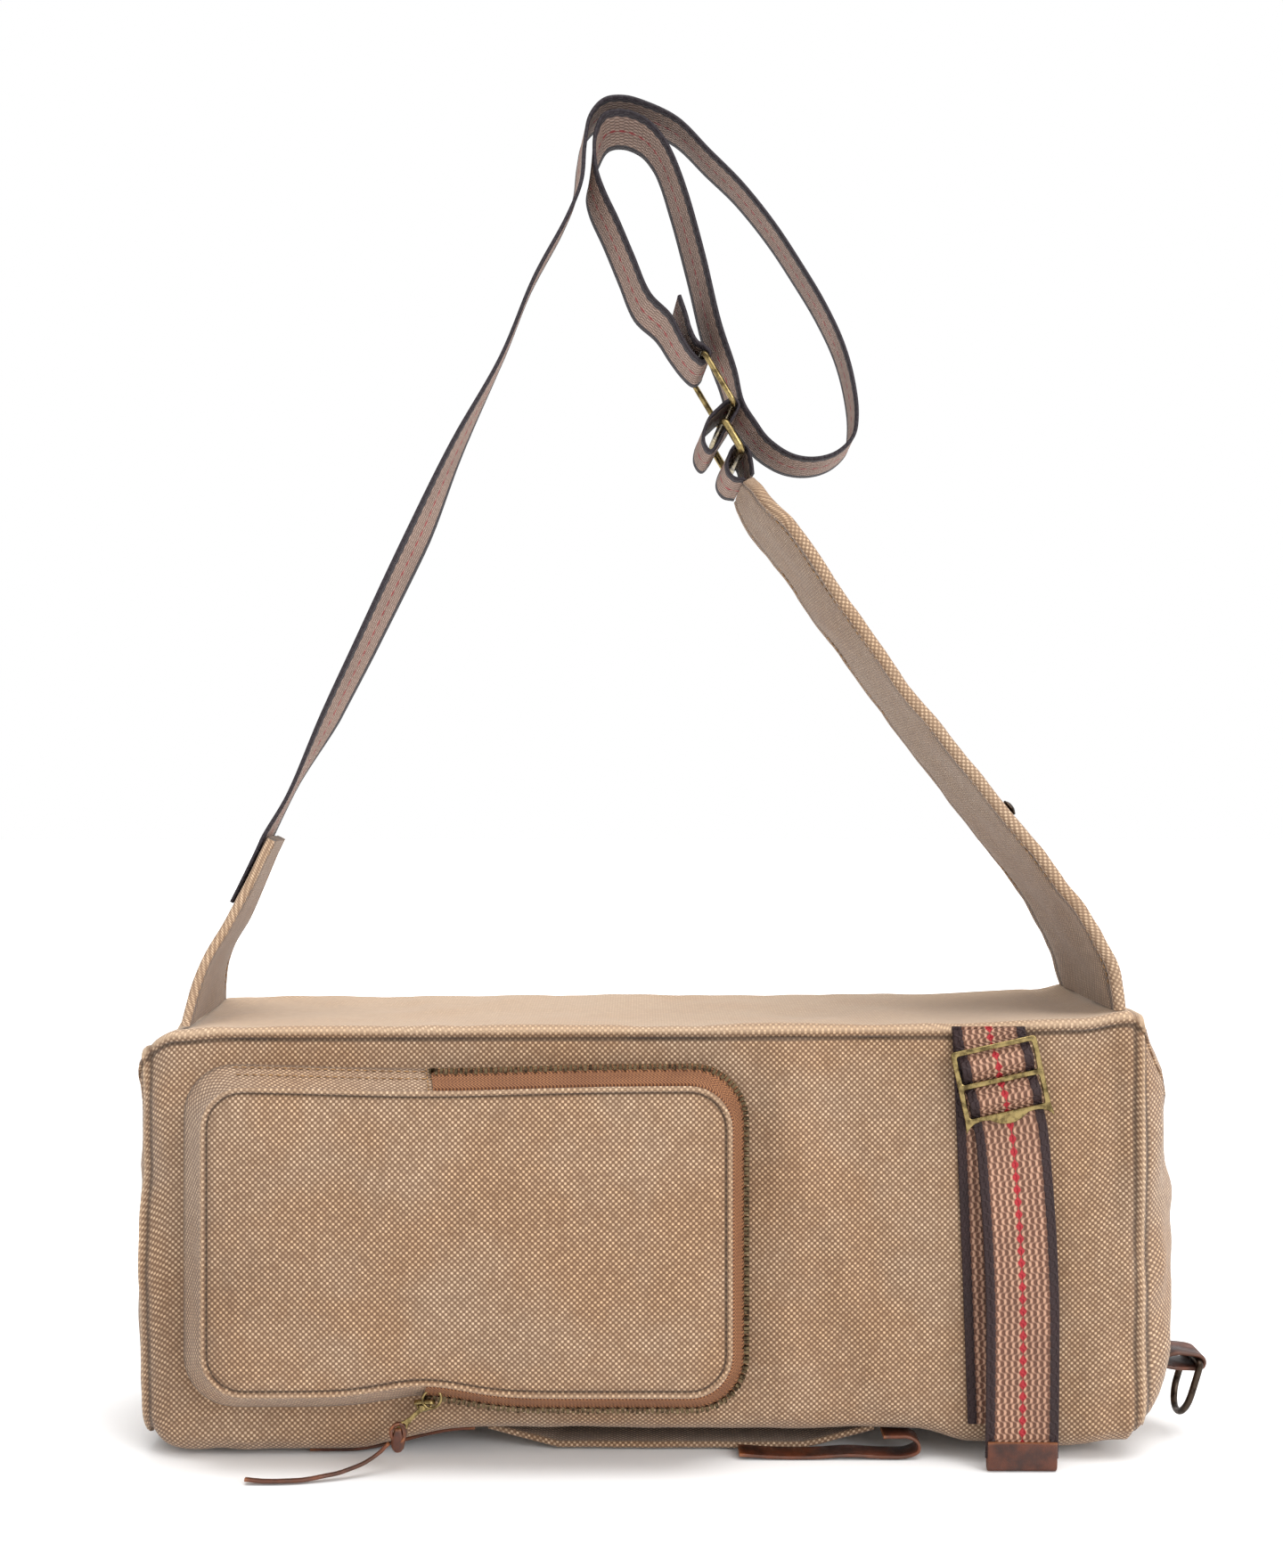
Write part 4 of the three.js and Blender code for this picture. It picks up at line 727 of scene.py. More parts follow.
def cotton_thread(name):
    # Twisted cotton sewing thread, a shade deeper than the canvas and matt.
    c = bpy.context.scene.sling_bag_colours
    colours = (c.thread_shade, c.thread_main)
    material, tree, shader = mottled_finish(name, colours, (900, 2, 0.55, 0.3, 0.7), 0.0)
    set_inputs(tree, shader, {"Roughness": 0.85})
    return material


def studio_white(name):
    # Painted white studio board, plain and matt.
    material, tree, shader = new_material(name)
    set_inputs(tree, shader, {"Base Color": (0.88, 0.88, 0.88, 1), "Roughness": 0.9})
    return material


MAKERS = {
    "washed cotton duck": washed_duck,
    "band webbing": band_webbing,
    "strap webbing": strap_webbing_material,
    "herringbone zip tape": zip_tape,
    "oiled cowhide": oiled_leather,
    "antique brass": aged_brass,
    "oxidised bronze": dark_bronze,
    "brass zip teeth": zip_metal,
    "cotton thread": cotton_thread,
    "white studio board": studio_white,
}


def finish(name):
    return bpy.data.materials.get(name) or MAKERS[name](name)


# Body of the bag

# [share of half length, height of the foot line as a share of the body height]
FOOT_LINE = [
    (-1, 0.0357), (-0.95, 0.0179), (-0.84, 0.0133), (-0.6, 0.0133), (-0.34, 0.0638), (0.55, 0.0612),
    (0.66, 0.0306), (0.84, 0.0204), (0.97, 0.0357), (1, 0.0561),
]
# [share of half length, rise of the top edge as a share of the body height]
TOP_LINE = [
    (-1, -0.0255), (-0.93, -0.0102), (-0.82, -0.002), (0, 0), (0.6, 0.0031), (0.87, 0.0153),
    (0.97, 0.0316), (1, 0.0265),
]


def foot_z(x):
    return BODY_HEIGHT * from_table(FOOT_LINE, x / HALF_LENGTH)


def top_z(x):
    return BODY_HEIGHT * (1 + from_table(TOP_LINE, x / HALF_LENGTH))


def end_inset(x):
    left = max(0.0, 1 - (x + HALF_LENGTH) / 18)
    right = max(0.0, 1 - (HALF_LENGTH - x) / 8)
    return 7 * left**2 + 3 * right**2


def front_y(x, z):
    across = max(0.0, 1 - (x / HALF_LENGTH) ** 2)
    level = clamp((z - foot_z(x)) / (top_z(x) - foot_z(x)), 0, 1)
    return end_inset(x) - FRONT_BELLY * across * math.sin(math.pi * level)


def slackness(x, y, z):
    """How far the cloth may wrinkle: little where something is sewn on, more at the crumpled left end."""
    held = 1 - 0.93 * clamp(1.6 * bump(x, BAND_X + 8, 26), 0, 1)
    if y < MID_DEPTH:
        beside = max(POCKET_LEFT - 13 - x, x - POCKET_LEFT - POCKET_LENGTH - 8, 0)
        above = max(POCKET_FOOT - 12 - z, z - POCKET_FOOT - POCKET_HEIGHT - 8, 0)
        held *= 1 - 0.85 * math.exp(-((math.hypot(beside, above) / 13) ** 2))
    else:
        beside = max(abs(x) - MAIN_ZIP_LENGTH / 2, 0)
        above = max(abs(z - MAIN_ZIP_HEIGHT) - 13, 0)
        held *= 1 - 0.97 * math.exp(-((math.hypot(beside, above) / 11) ** 2))
    return held * (1 + 1.5 * bump(x, -HALF_LENGTH, 34) + 0.5 * bump(x, HALF_LENGTH, 22))


def wrinkle(x, y, z):
    """Soft folds of the body's canvas, in millimetres outwards."""
    height = bpy.context.scene.sling_bag_sizes.wrinkle_height
    long_folds = rough(x / 52, y / 70, z / 120, 1.3)
    short_folds = rough(x / 20, y / 30, z / 44, 4.7)
    creases = rough(x / 11, y / 16, z / 17, 9.1)
    return height * slackness(x, y, z) * (0.9 * long_folds + 0.75 * short_folds + 0.28 * creases)


def body_outline(x):
    """The body's section at x without welts or folds: (y, z) points, with runs to its two top corners."""
    inset = end_inset(x)
    top = top_z(x) - inset
    foot = foot_z(x) + inset
    back = BODY_DEPTH - inset
    points = []
    for down in fine_then_even(top - foot - TOP_CORNER - BOTTOM_CORNER, 9, 12, 34):
        z = top - TOP_CORNER - down
        points.append((front_y(x, z), z))
    for i in range(1, 8):
        angle = i / 8 * math.pi / 2
        y = inset + BOTTOM_CORNER * (1 - math.cos(angle))
        points.append((y, foot + BOTTOM_CORNER * (1 - math.sin(angle))))
    for i in range(15):
        points.append((lerp(inset + BOTTOM_CORNER, back - BOTTOM_CORNER, i / 14), foot))
    for i in range(1, 8):
        angle = i / 8 * math.pi / 2
        y = back - BOTTOM_CORNER * (1 - math.sin(angle))
        points.append((y, foot + BOTTOM_CORNER * (1 - math.cos(angle))))
    rise = top - foot - TOP_CORNER - BOTTOM_CORNER
    for up in reversed(fine_then_even(rise, 9, 10, 24)):
        points.append((back, top - TOP_CORNER - up))
    back_corner = len(points)
    for i in range(1, 5):
        angle = i / 5 * math.pi / 2
        points.append((back - TOP_CORNER * (1 - math.cos(angle)), top - TOP_CORNER * (1 - math.sin(angle))))
    across = back - inset - 2 * TOP_CORNER
    stops = fine_then_even(across / 2, 9, 10, 10)
    ways = [-s for s in stops] + [s - across for s in reversed(stops[:-1])]
    for way in ways:
        sag = 1.2 * math.sin(math.pi * clamp(-way / across, 0, 1))
        points.append((back - TOP_CORNER + way, top - sag))
    for i in range(1, 5):
        angle = i / 5 * math.pi / 2
        y = inset + TOP_CORNER * (1 - math.sin(angle))
        points.append((y, top - TOP_CORNER * (1 - math.cos(angle))))
    points.append(points[0])
    return points, back_corner


def body_section(x):
    """The section at x with its seam welts and folds: points, their distance round it, and their painted
    shading.
    """
    outline, back_corner = body_outline(x)
    runs = [0.0]
    for (y0, z0), (y1, z1) in zip(outline, outline[1:]):
        runs.append(runs[-1] + math.hypot(y1 - y0, z1 - z0))
    total = runs[-1]
    welt = bpy.context.scene.sling_bag_sizes.seam_welt
    count = len(outline) - 1
    from_end = HALF_LENGTH - abs(x)
    rim = welt * (bump(from_end, 0.2, 1.6) - 0.8 * bump(from_end, 4.2, 1.3))
    points, painted_shadings = [], []
    for i, (y, z) in enumerate(outline):
        y0, z0 = outline[(i - 1) % count]
        y1, z1 = outline[(i + 1) % count]
        length = math.hypot(y1 - y0, z1 - z0)
        out_y, out_z = (z1 - z0) / length, -(y1 - y0) / length
        from_front = runs[i] if runs[i] < total / 2 else runs[i] - total
        from_back = runs[i] - runs[back_corner]
        seam = welt * (bump(from_front, -0.8, 2.1) - 0.95 * bump(from_front, 2.9, 1.1))
        seam += 0.6 * welt * (bump(from_back, 1.5, 2.0) - 0.8 * bump(from_back, -2.6, 1.1))
        pucker = 0.45 * rough(x / 5.5, 0, 0, 2.2) * bump(from_front, 8, 8)
        calm = 0.3 if z < foot_z(x) + 6 or z > top_z(x) - 6 else 1.0
        folds = calm * wrinkle(x, y, z) + pucker
        off = seam + folds + rim
        points.append(Vector((x, y + out_y * off, z + out_z * off)))
        # Painted shade in the grooves beside the front, back and end seams.
        dark = bump(from_front, 3.0, 1.1) + 0.8 * bump(from_back, -2.6, 1.1)
        dark += 0.9 * bump(from_end, 4.0, 1.3)
        # Painted highlight on the raised welt and rim, and on faces turned upwards, as if lit from above.
        pale = 0.8 * bump(from_front, -0.8, 1.6) + 0.6 * bump(from_end, 0.2, 1.4)
        pale += 0.75 * max(0.0, out_z) ** 4
        painted_shadings.append(max(-1.0, min(dark, 1.0) - pale))
    return points, runs, painted_shadings


def body_stops():
    """Places along the body: close together at its rounded ends."""
    left = [-HALF_LENGTH + s for s in fine_then_even(22, 4, 5, 12)]
    right = [HALF_LENGTH - s for s in fine_then_even(16, 4, 5, 9)]
    middle = [lerp(left[-1], right[-1], i / 104) for i in range(1, 104)]
    return left + middle + list(reversed(right))


def end_rings(direction, bulge):
    """Rings of an end panel from the body's rim to its middle, fuller low down than near the top."""
    rim, _, _ = body_section(direction * HALF_LENGTH)
    low = min(p.z for p in rim)
    high = max(p.z for p in rim)
    middle = Vector((direction * HALF_LENGTH, MID_DEPTH, (low + high) / 2))
    half = (high - low) / 2
    welt = bpy.context.scene.sling_bag_sizes.seam_welt
    rings, uvs, painted_shadings = [], [], []
    near_rim = (1, 0.992, 0.983, 0.972, 0.96, 0.94, 0.91, 0.87)
    for reach in (*near_rim, 0.8, 0.72, 0.62, 0.5, 0.38, 0.26, 0.13, 0):
        ring, uv = [], []
        for point in rim:
            y, z = lerp(middle.y, point.y, reach), lerp(middle.z, point.z, reach)
            fuller = 1 - 0.3 * (z - middle.z) / half
            swell = bulge * fuller * (1 - reach**3)
            fold = 1.5 * wrinkle(direction * 300, y * 1.2, z) * (1 - reach**6)
            seam = -0.8 * welt * bump((1 - reach) * half, 3.2, 1.4)
            ring.append(Vector((direction * (HALF_LENGTH + swell + seam + fold), y, z)))
            uv.append((y, z))
        rings.append(ring)
        uvs.append(uv)
        # Painted shade in the groove beside the end seam, and painted highlight along the rim.
        painted_shadings.append([bump((1 - reach) * half, 3.2, 1.4) - 0.6 * bump(reach, 1, 0.006)] * len(ring))
    return rings, uvs, painted_shadings


def build_body():
    skin = new_skin()
    rings, uvs, painted_shadings = [], [], []
    for x in body_stops():
        points, runs, dark = body_section(x)
        rings.append(points)
        uvs.append([(x, run) for run in runs])
        painted_shadings.append(dark)
    add_rings(skin, rings, uvs, painted_shadings=painted_shadings)
    for direction, bulge in ((-1, 8), (1, 22)):
        end, end_uvs, end_painted_shadings = end_rings(direction, bulge)
        add_rings(skin, end, end_uvs, painted_shadings=end_painted_shadings)
    nodes = ("front_panel", "back_panel", "top_panel", "bottom_panel", "left_end_panel", "right_end_panel")
    return finish_piece(skin, "body_canvas", "washed cotton duck", nodes, crease=75)


# Front pocket

POCKET_MIDDLE_X = POCKET_LEFT + POCKET_LENGTH / 2
POCKET_MIDDLE_Z = POCKET_FOOT + POCKET_HEIGHT / 2
POCKET_POINTS = 176
FLARE = {"left": 13, "right": 7.5, "top": 7.5, "bottom": 11.5, "corner": 5}


def pocket_sag(x, z):
    height = clamp((z - POCKET_FOOT) / POCKET_HEIGHT, 0, 1)
    slider = POCKET_LEFT + 0.42 * POCKET_LENGTH
    drawn = 0.04 * POCKET_HEIGHT * bump(x, slider, 0.11 * POCKET_LENGTH)
    dip = 0.016 * POCKET_HEIGHT * bump(x, slider, 0.26 * POCKET_LENGTH)
    return drawn * (1 - height) ** 2 - dip * height**2


def pocket_outline(walk, level, grow):
    """Walks round the pocket clockwise from the top left: even spans are sides, odd spans are corners."""
    out = 1 - level
    left = POCKET_LEFT - FLARE["left"] * out - grow
    right = POCKET_LEFT + POCKET_LENGTH + FLARE["right"] * out + grow
    foot = POCKET_FOOT - FLARE["bottom"] * out - grow
    head = POCKET_FOOT + POCKET_HEIGHT + FLARE["top"] * out + grow
    corner = POCKET_CORNER + FLARE["corner"] * out + grow
    span = int(walk) % 8
    t = walk - int(walk)
    corners = [
        (right - corner, head - corner),
        (right - corner, foot + corner),
        (left + corner, foot + corner),
        (left + corner, head - corner),
    ]
    sides = [
        ((left + corner, head), (right - corner, head)),
        ((right, head - corner), (right, foot + corner)),
        ((right - corner, foot), (left + corner, foot)),
        ((left, foot + corner), (left, head - corner)),
    ]
    if span % 2 == 0:
        (x0, z0), (x1, z1) = sides[span // 2]
        x, z = lerp(x0, x1, t), lerp(z0, z1, t)
    else:
        centre_x, centre_z = corners[(span - 1) // 2]
        angle = math.pi / 2 - ((span - 1) // 2 + t) * math.pi / 2
        x, z = centre_x + corner * math.cos(angle), centre_z + corner * math.sin(angle)
    return x, z + pocket_sag(x, z)


def pocket_point(walk, level, grow, proud=0.0):
    """A point of the gusset at a level, grown outwards. Proud moves it forward."""
    x, z = pocket_outline(walk, level, grow)
    y = lerp(front_y(x, z) - SEAM_GAP, -POCKET_DEPTH, level) - proud
    return Vector((x, y, z))


def even_walks(start, end, count):
    """Places round the pocket with each side and corner given points by its own length."""
    spans = (POCKET_LENGTH - 36, 34, POCKET_HEIGHT - 36, 34) * 2
    marks = [start]
    while True:
        following = math.floor(marks[-1] + 1e-9) + 1
        if following >= end:
            break
        marks.append(following)
    marks.append(end)
    total = sum((b - a) * spans[int(a) % 8] for a, b in zip(marks, marks[1:]))
    walks = []
    for a, b in zip(marks, marks[1:]):
        share = max(2, round(count * (b - a) * spans[int(a) % 8] / total))
        walks += [lerp(a, b, i / share) for i in range(share)]
    return walks + [end]


def pocket_fold(x, z):
    """Soft relief of the pocket's face: slack cloth, with folds drawn in towards the slider."""
    height = bpy.context.scene.sling_bag_sizes.wrinkle_height
    slack = 0.6 * rough(x / 48, 0, z / 60, 6.4) + 0.45 * rough(x / 19, 0, z / 24, 8.8)
    along = (x + 97) * 0.55 + (z - 45) * 0.83
    away = math.hypot(x + 97, z - 45)
    drawn = 0.9 * math.cos(along / 6) * math.exp(-away / 26)
    return height * slack + drawn


def build_pocket():
    skin = new_skin()
    walks = even_walks(0, 8, POCKET_POINTS)
    walks[-1] = 0.0
    runs = [0.0]
    for a, b in zip(walks, walks[1:]):
        runs.append(runs[-1] + (pocket_point(b, 1, 0) - pocket_point(a, 1, 0)).length)
    rings, uvs = [], []
    for reach in (0, 0.12, 0.24, 0.36, 0.47, 0.57, 0.66, 0.74, 0.81, 0.87, 0.91, 0.93, 0.945):
        ring, uv = [], []
        for walk in walks:
            rim_x, rim_z = pocket_outline(walk, 1, 0)
            x, z = lerp(POCKET_MIDDLE_X, rim_x, reach), lerp(POCKET_MIDDLE_Z, rim_z, reach)
            fold = pocket_fold(x, z) * (1 - reach**6)
            y = -POCKET_DEPTH - POCKET_CROWN * (1 - reach**2.4) - fold
            ring.append(Vector((x, y, z)))
            uv.append((x, z))
        rings.append(ring)
        uvs.append(uv)
    painted_shadings = [[0.0] * len(walks) for _ in rings]
    # The face's edge is a rolled seam beside a groove, with painted shade in the groove and painted highlight
    # on the roll: [grow, forward of the face, painted shading]
    rim = ((-2.9, 0.1, 0.1), (-2.4, -0.4, 0.6), (-1.9, -0.7, 0.8), (-1.5, 0.0, 0.3), (-1.0, 0.8, -0.2))
    rim += ((-0.4, 1.1, -0.4), (0.45, 0.8, -0.3), (0.9, 0.0, 0.1), (0.5, -0.9, 0.9))
    for grow, forward, dark in rim:
        ring = [pocket_point(walk, 1, grow, forward) for walk in walks]
        rings.append(ring)
        uvs.append([(p.x, p.z) for p in ring])
        painted_shadings.append([dark] * len(ring))
    add_rings(skin, rings, uvs, painted_shadings=painted_shadings)
    side, side_uvs, side_painted_shadings = [rings[-1]], [[(run, 0) for run in runs]], [painted_shadings[-1]]
    for level in (0.94, 0.9, 0.8, 0.68, 0.56, 0.44, 0.32, 0.2, 0.1, 0.03, -0.12):
        ring = []
        for walk, run in zip(walks, runs):
            fold = 0.7 * rough(run / 16, level * 2, 0, 3.3) * math.sin(math.pi * clamp(level, 0, 1))
            ring.append(pocket_point(walk, level, fold - 0.2))
        side.append(ring)
        side_uvs.append([(run, (1 - level) * POCKET_DEPTH) for run in runs])
        # Painted shade along the gusset's top edge and at its foot against the body.
        side_painted_shadings.append([0.8 * bump(level, 1, 0.07) + 0.9 * bump(level, -0.05, 0.13)] * len(runs))
    add_rings(skin, side, side_uvs, painted_shadings=side_painted_shadings)
    floor = [side[-1]]
    for reach in (0.5, 0):
        ring = []
        for point in side[-1]:
            x, z = lerp(POCKET_MIDDLE_X, point.x, reach), lerp(POCKET_MIDDLE_Z, point.z, reach)
            ring.append(Vector((x, front_y(x, z) + 3, z)))
        floor.append(ring)
    add_rings(skin, floor)
    nodes = ("pocket_front", "pocket_gusset")
    return finish_piece(skin, "pocket_canvas", "washed cotton duck", nodes, crease=75)


def build_pocket_zip():
    skin = new_skin()
    walks = even_walks(ZIP_START, ZIP_END, 110)
    rings, uvs, run = [], [], 0.0
    # Round the tape: [level, grow]
    outline = [
        (0.1, -0.3), (0.1, 1.0), (0.12, 1.4), (0.27, 1.4), (0.3, 1.9), (0.42, 1.9), (0.45, 1.4),
        (0.62, 1.4), (POCKET_TAPE_TOP, 1.3), (0.9, 1.0), (0.9, -0.3), (0.1, -0.3),
    ]
    for i, walk in enumerate(walks):
        if i:
            run += (pocket_point(walk, 0.5, 0) - pocket_point(walks[i - 1], 0.5, 0)).length
        rings.append([pocket_point(walk, level, grow) for level, grow in outline])
        uvs.append([(run, level * POCKET_DEPTH) for level, grow in outline])
    add_rings(skin, rings, uvs, caps=True)
    finish_piece(skin, "pocket_tape", "herringbone zip tape", ("pocket_zip_tape",), crease=60)
    row = []
    for walk in even_walks(ZIP_START, ZIP_END, 220):
        low, high = pocket_point(walk, TEETH_ROW, 1.9), pocket_point(walk, TEETH_ROW, 5)
        row.append((lerp(low, high, 0.26), (high - low).normalized()))
    sizes = bpy.context.scene.sling_bag_sizes
    teeth = (sizes.tooth_spacing, 0.58 * sizes.tooth_spacing, 3.0, 2.4, 1.4)
    repeat_along(
        "pocket_teeth", [row], "tooth", teeth, finish("brass zip teeth"), ("pocket_zip_teeth",)
    )


# Zip slider, pull and leather thong

SLIDER_SEAT = pocket_point(ZIP_END, TEETH_ROW, 3.5)
GUSSET_SLOPE = math.atan(FLARE["bottom"] / (POCKET_DEPTH - FRONT_BELLY))
SLIDER_OUT = Vector((0, -math.sin(GUSSET_SLOPE), -math.cos(GUSSET_SLOPE)))
PULL_DOWN = Vector((-0.73, 0, -0.68)).normalized()
PULL_TOP = SLIDER_SEAT + Vector((2.5, -4.2, 0.5))
PULL_LENGTH = 18
PULL_END = PULL_TOP + PULL_DOWN * PULL_LENGTH
PULLER_LENGTH = 64
PULLER_WIDTH = 3.6
# [x from the slider, y from the slider, height above the ground] as shares of the thong's length
PULLER_ROUTE = [
    (-0.237, -0.078, 0.211), (-0.297, -0.094, 0.153), (-0.406, -0.128, 0.094), (-0.547, -0.172, 0.05),
    (-0.719, -0.219, 0.027), (-0.891, -0.25, 0.019), (-1.047, -0.258, 0.02), (-1.188, -0.258, 0.031),
]
KNOT_RADIUS = 3.8


def build_slider():
    side = Vector((1, 0, 0))
    skin = new_skin()
    body = flat_plate([rounded_outline(4.7, 3.1, 2.2, 6)], 2.2, 0.5)
    centre = SLIDER_SEAT + SLIDER_OUT * 1.8
    join_mesh(skin, set_in_place(body, centre, side, SLIDER_OUT.cross(side), SLIDER_OUT))
    # The bridge that holds the pull: [along, out]
    arch = [(-3.2, 2.6), (-2.6, 3.9), (-0.8, 4.7), (1.2, 4.6), (2.6, 3.9), (3.1, 2.6)]
    across = SLIDER_OUT.cross(side)
    stations = [(SLIDER_SEAT + side * a + SLIDER_OUT * b - across * 1.1, across * 2.2) for a, b in arch]
    rings, uvs = strap_rings(stations, 4, webbing_section(0.9, 0, 2))
    add_rings(skin, rings, uvs, caps=True)
    finish_piece(skin, "slider_body", "antique brass", ("zip_slider",))
    pull = new_skin()
    facing = Vector((0, -1, 0))
    across = facing.cross(PULL_DOWN)
    # A bright bail through the bridge, then a flat bar with an eye for the thong.
    bail = []
    for i in range(24):
        angle = 2 * math.pi * i / 24
        offset = PULL_DOWN * (4.4 * math.cos(angle) - 1.6) + across * (3.9 * math.sin(angle))
        bail.append(PULL_TOP + offset)
    add_rings(pull, wire_rings(bail, 0.62, 8))
    # Half outline of the bar: [along from the top, half width]
    half = [
        (3.2, 0.9), (4.2, 1.5), (5.2, 1.1), (11.5, 0.95), (12.4, 1.35), (13.4, 1.3), (15.8, 2.1),
        (17.4, 1.9), (PULL_LENGTH, 0.8),
    ]
    middle = PULL_LENGTH / 2
    rim = [(a - middle, b) for a, b in half] + [(a - middle, -b) for a, b in reversed(half)]
    turns = [2 * math.pi * k / 10 for k in range(10)]
    eye = [(6.7 + 1.1 * math.cos(turn), 1.1 * math.sin(turn)) for turn in turns]
    plate = flat_plate([rim, eye], 1.4, 0.3)
    join_mesh(pull, set_in_place(plate, PULL_TOP + PULL_DOWN * middle, PULL_DOWN, across, facing))
    finish_piece(pull, "slider_pull", "antique brass", ("zip_pull",))


def build_thong():
    start = Vector((SLIDER_SEAT.x, SLIDER_SEAT.y, 0))
    across = Vector((0, -PULLER_WIDTH, 0.15 * PULLER_WIDTH))
    stations = [(Vector(p) * PULLER_LENGTH + start, across) for p in PULLER_ROUTE]

    def ripple(run, across):
        return 0.3 * rough(run / 9, 0, 0)

    section = webbing_section(1.6, 0, 3)
    strap_piece("thong_tail", stations, 6, section, "oiled cowhide", "leather_puller", lift=ripple)
    knot = new_skin()
    # Two rounds of thong pass through the pull's eye and hang down in a short doubled drop.
    for turn, width, reach in ((0.0, 2.6, 1.0), (0.9, 2.4, 0.86)):
        loop = []
        for i in range(18):
            angle = 2 * math.pi * i / 18
            centre = PULL_END + Vector((-0.6, -0.6, -1.4))
            x = 3.3 * reach * math.cos(angle + turn)
            y = 0.9 * math.sin(2 * angle) - width / 2
            z = 4.1 * reach * math.sin(angle + turn)
            loop.append((centre + Vector((x, y, z)), Vector((0, width, 0))))
        rings, uvs = strap_rings(loop, 2, webbing_section(1.3, 0, 3), closed=True)
        add_rings(knot, rings, uvs)
    # The doubled drop under the knot: [x, z, half width] from the pull's end
    rows = ((-0.4, 0.6, 1.6), (-0.5, -2.6, 2.6), (-0.6, -5.4, 3.1), (-0.6, -8.0, 2.7), (-0.6, -9.6, 1.5))
    drop = []
    for x, z, half in rows:
        middle = PULL_END + Vector((x, -0.8, z))
        drop.append((middle - Vector((half, 0, 0)), Vector((2 * half, 0, 0))))
    rings, uvs = strap_rings(drop, 4, webbing_section(3.2, 0, 4))
    add_rings(knot, rings, uvs, caps=True)
    finish_piece(knot, "thong_knot", "oiled cowhide", ("puller_knot",))


# Webbing band down the front, its buckle and leather tip

# [height as a share of the body height, drift to the right as a share of the band's width]
BAND_DRIFT = [(0, 0.4), (0.35, 0.415), (0.6, 0.363), (0.765, 0.292), (0.975, 0.012), (1, 0)]
BAND_LOWER_DRIFT = 7
# Through the buckle: [depth below its top as a share of its height, stand-off from the panel as a share]
BAND_FOLDS = [
    (-0.157, 0.48), (-0.049, 0.54), (0.043, 0.61), (0.137, 1.08), (0.246, 1.54), (0.354, 1.08), (0.457, 0.69),
    (0.565, 1.08), (0.671, 1.57), (0.751, 1.11), (0.834, 0.75), (0.959, 0.69), (1.121, 0.72),
]
# Hanging free: [height as a share of the body height, stand-off as a share]
BAND_HANG = [(0.7, 1.02), (0.55, 1.39), (0.38, 1.64), (0.2, 1.8), (0.075, 1.84), (0.03, 1.8)]
# [height as a share of the body height, share of the gap to either side]
TIP_LEAF = [(0.068, 1), (0.035, 1), (0.012, 0.8), (0.004, 0), (0.012, -0.8), (0.035, -1), (0.068, -1)]


def band_x(z):
    return BAND_X + BAND_WIDTH * from_table(BAND_DRIFT, z / BODY_HEIGHT, True)


def band_lean(z):
    reach = BAND_WIDTH / 8
    return math.atan((band_x(z - reach) - band_x(z + reach)) / (2 * reach))


def band_station(z, stand_off, width):
    lean = band_lean(z)
    across = Vector((width * math.cos(lean), 0, width * math.sin(lean)))
    middle = Vector((band_x(z), front_y(BAND_X, z) - stand_off, z))
    return middle - across / 2, across


def build_band():
    lower = []
    top = top_z(BAND_X) - BAND_THICKNESS
    foot = foot_z(BAND_X) + BOTTOM_CORNER
    for i in range(11):
        z = lerp(top, foot, i / 10)
        x = BAND_X + BAND_LOWER_DRIFT * i / 10 - BAND_WIDTH / 2
        lift = SEAM_GAP + BAND_THICKNESS / 2
        depth = front_y(x + BAND_WIDTH, z) - front_y(x, z)
        lower.append((Vector((x, front_y(x, z) - lift, z)), Vector((BAND_WIDTH, depth, 0))))
    section = webbing_section(BAND_THICKNESS)
    strap_piece("band_underlay", lower, 4, section, "band webbing", "band_lower")
    heights = [(BUCKLE_TOP - share * BUCKLE_HEIGHT, off) for share, off in BAND_FOLDS]
    heights += [(share * BODY_HEIGHT, off) for share, off in BAND_HANG]
    upper = [band_station(z, off * BAND_STAND_OFF, BAND_WIDTH) for z, off in heights]
    strap_piece("band_face", upper, 7, section, "band webbing", "band_upper")
    gap = BAND_THICKNESS / 2 + 2 * SEAM_GAP + LEATHER * 0.35
    middle = BAND_HANG[-1][1] * BAND_STAND_OFF
    leaf = [band_station(s * BODY_HEIGHT, middle + side * gap, 0.95 * BAND_WIDTH) for s, side in TIP_LEAF]
    section = webbing_section(LEATHER * 0.7, 0, 8)
    strap_piece("band_leather", leaf, 6, section, "oiled cowhide", "band_tip")


def curve_between(start, control, end, steps):
    """Points on a quadratic curve after its start."""
    made = []
    for i in range(1, steps + 1):
        t = i / steps
        weights = ((1 - t) ** 2, 2 * t * (1 - t), t * t)
        axes = zip(start, control, end)
        made.append(tuple(sum(w * value for w, value in zip(weights, values)) for values in axes))
    return made


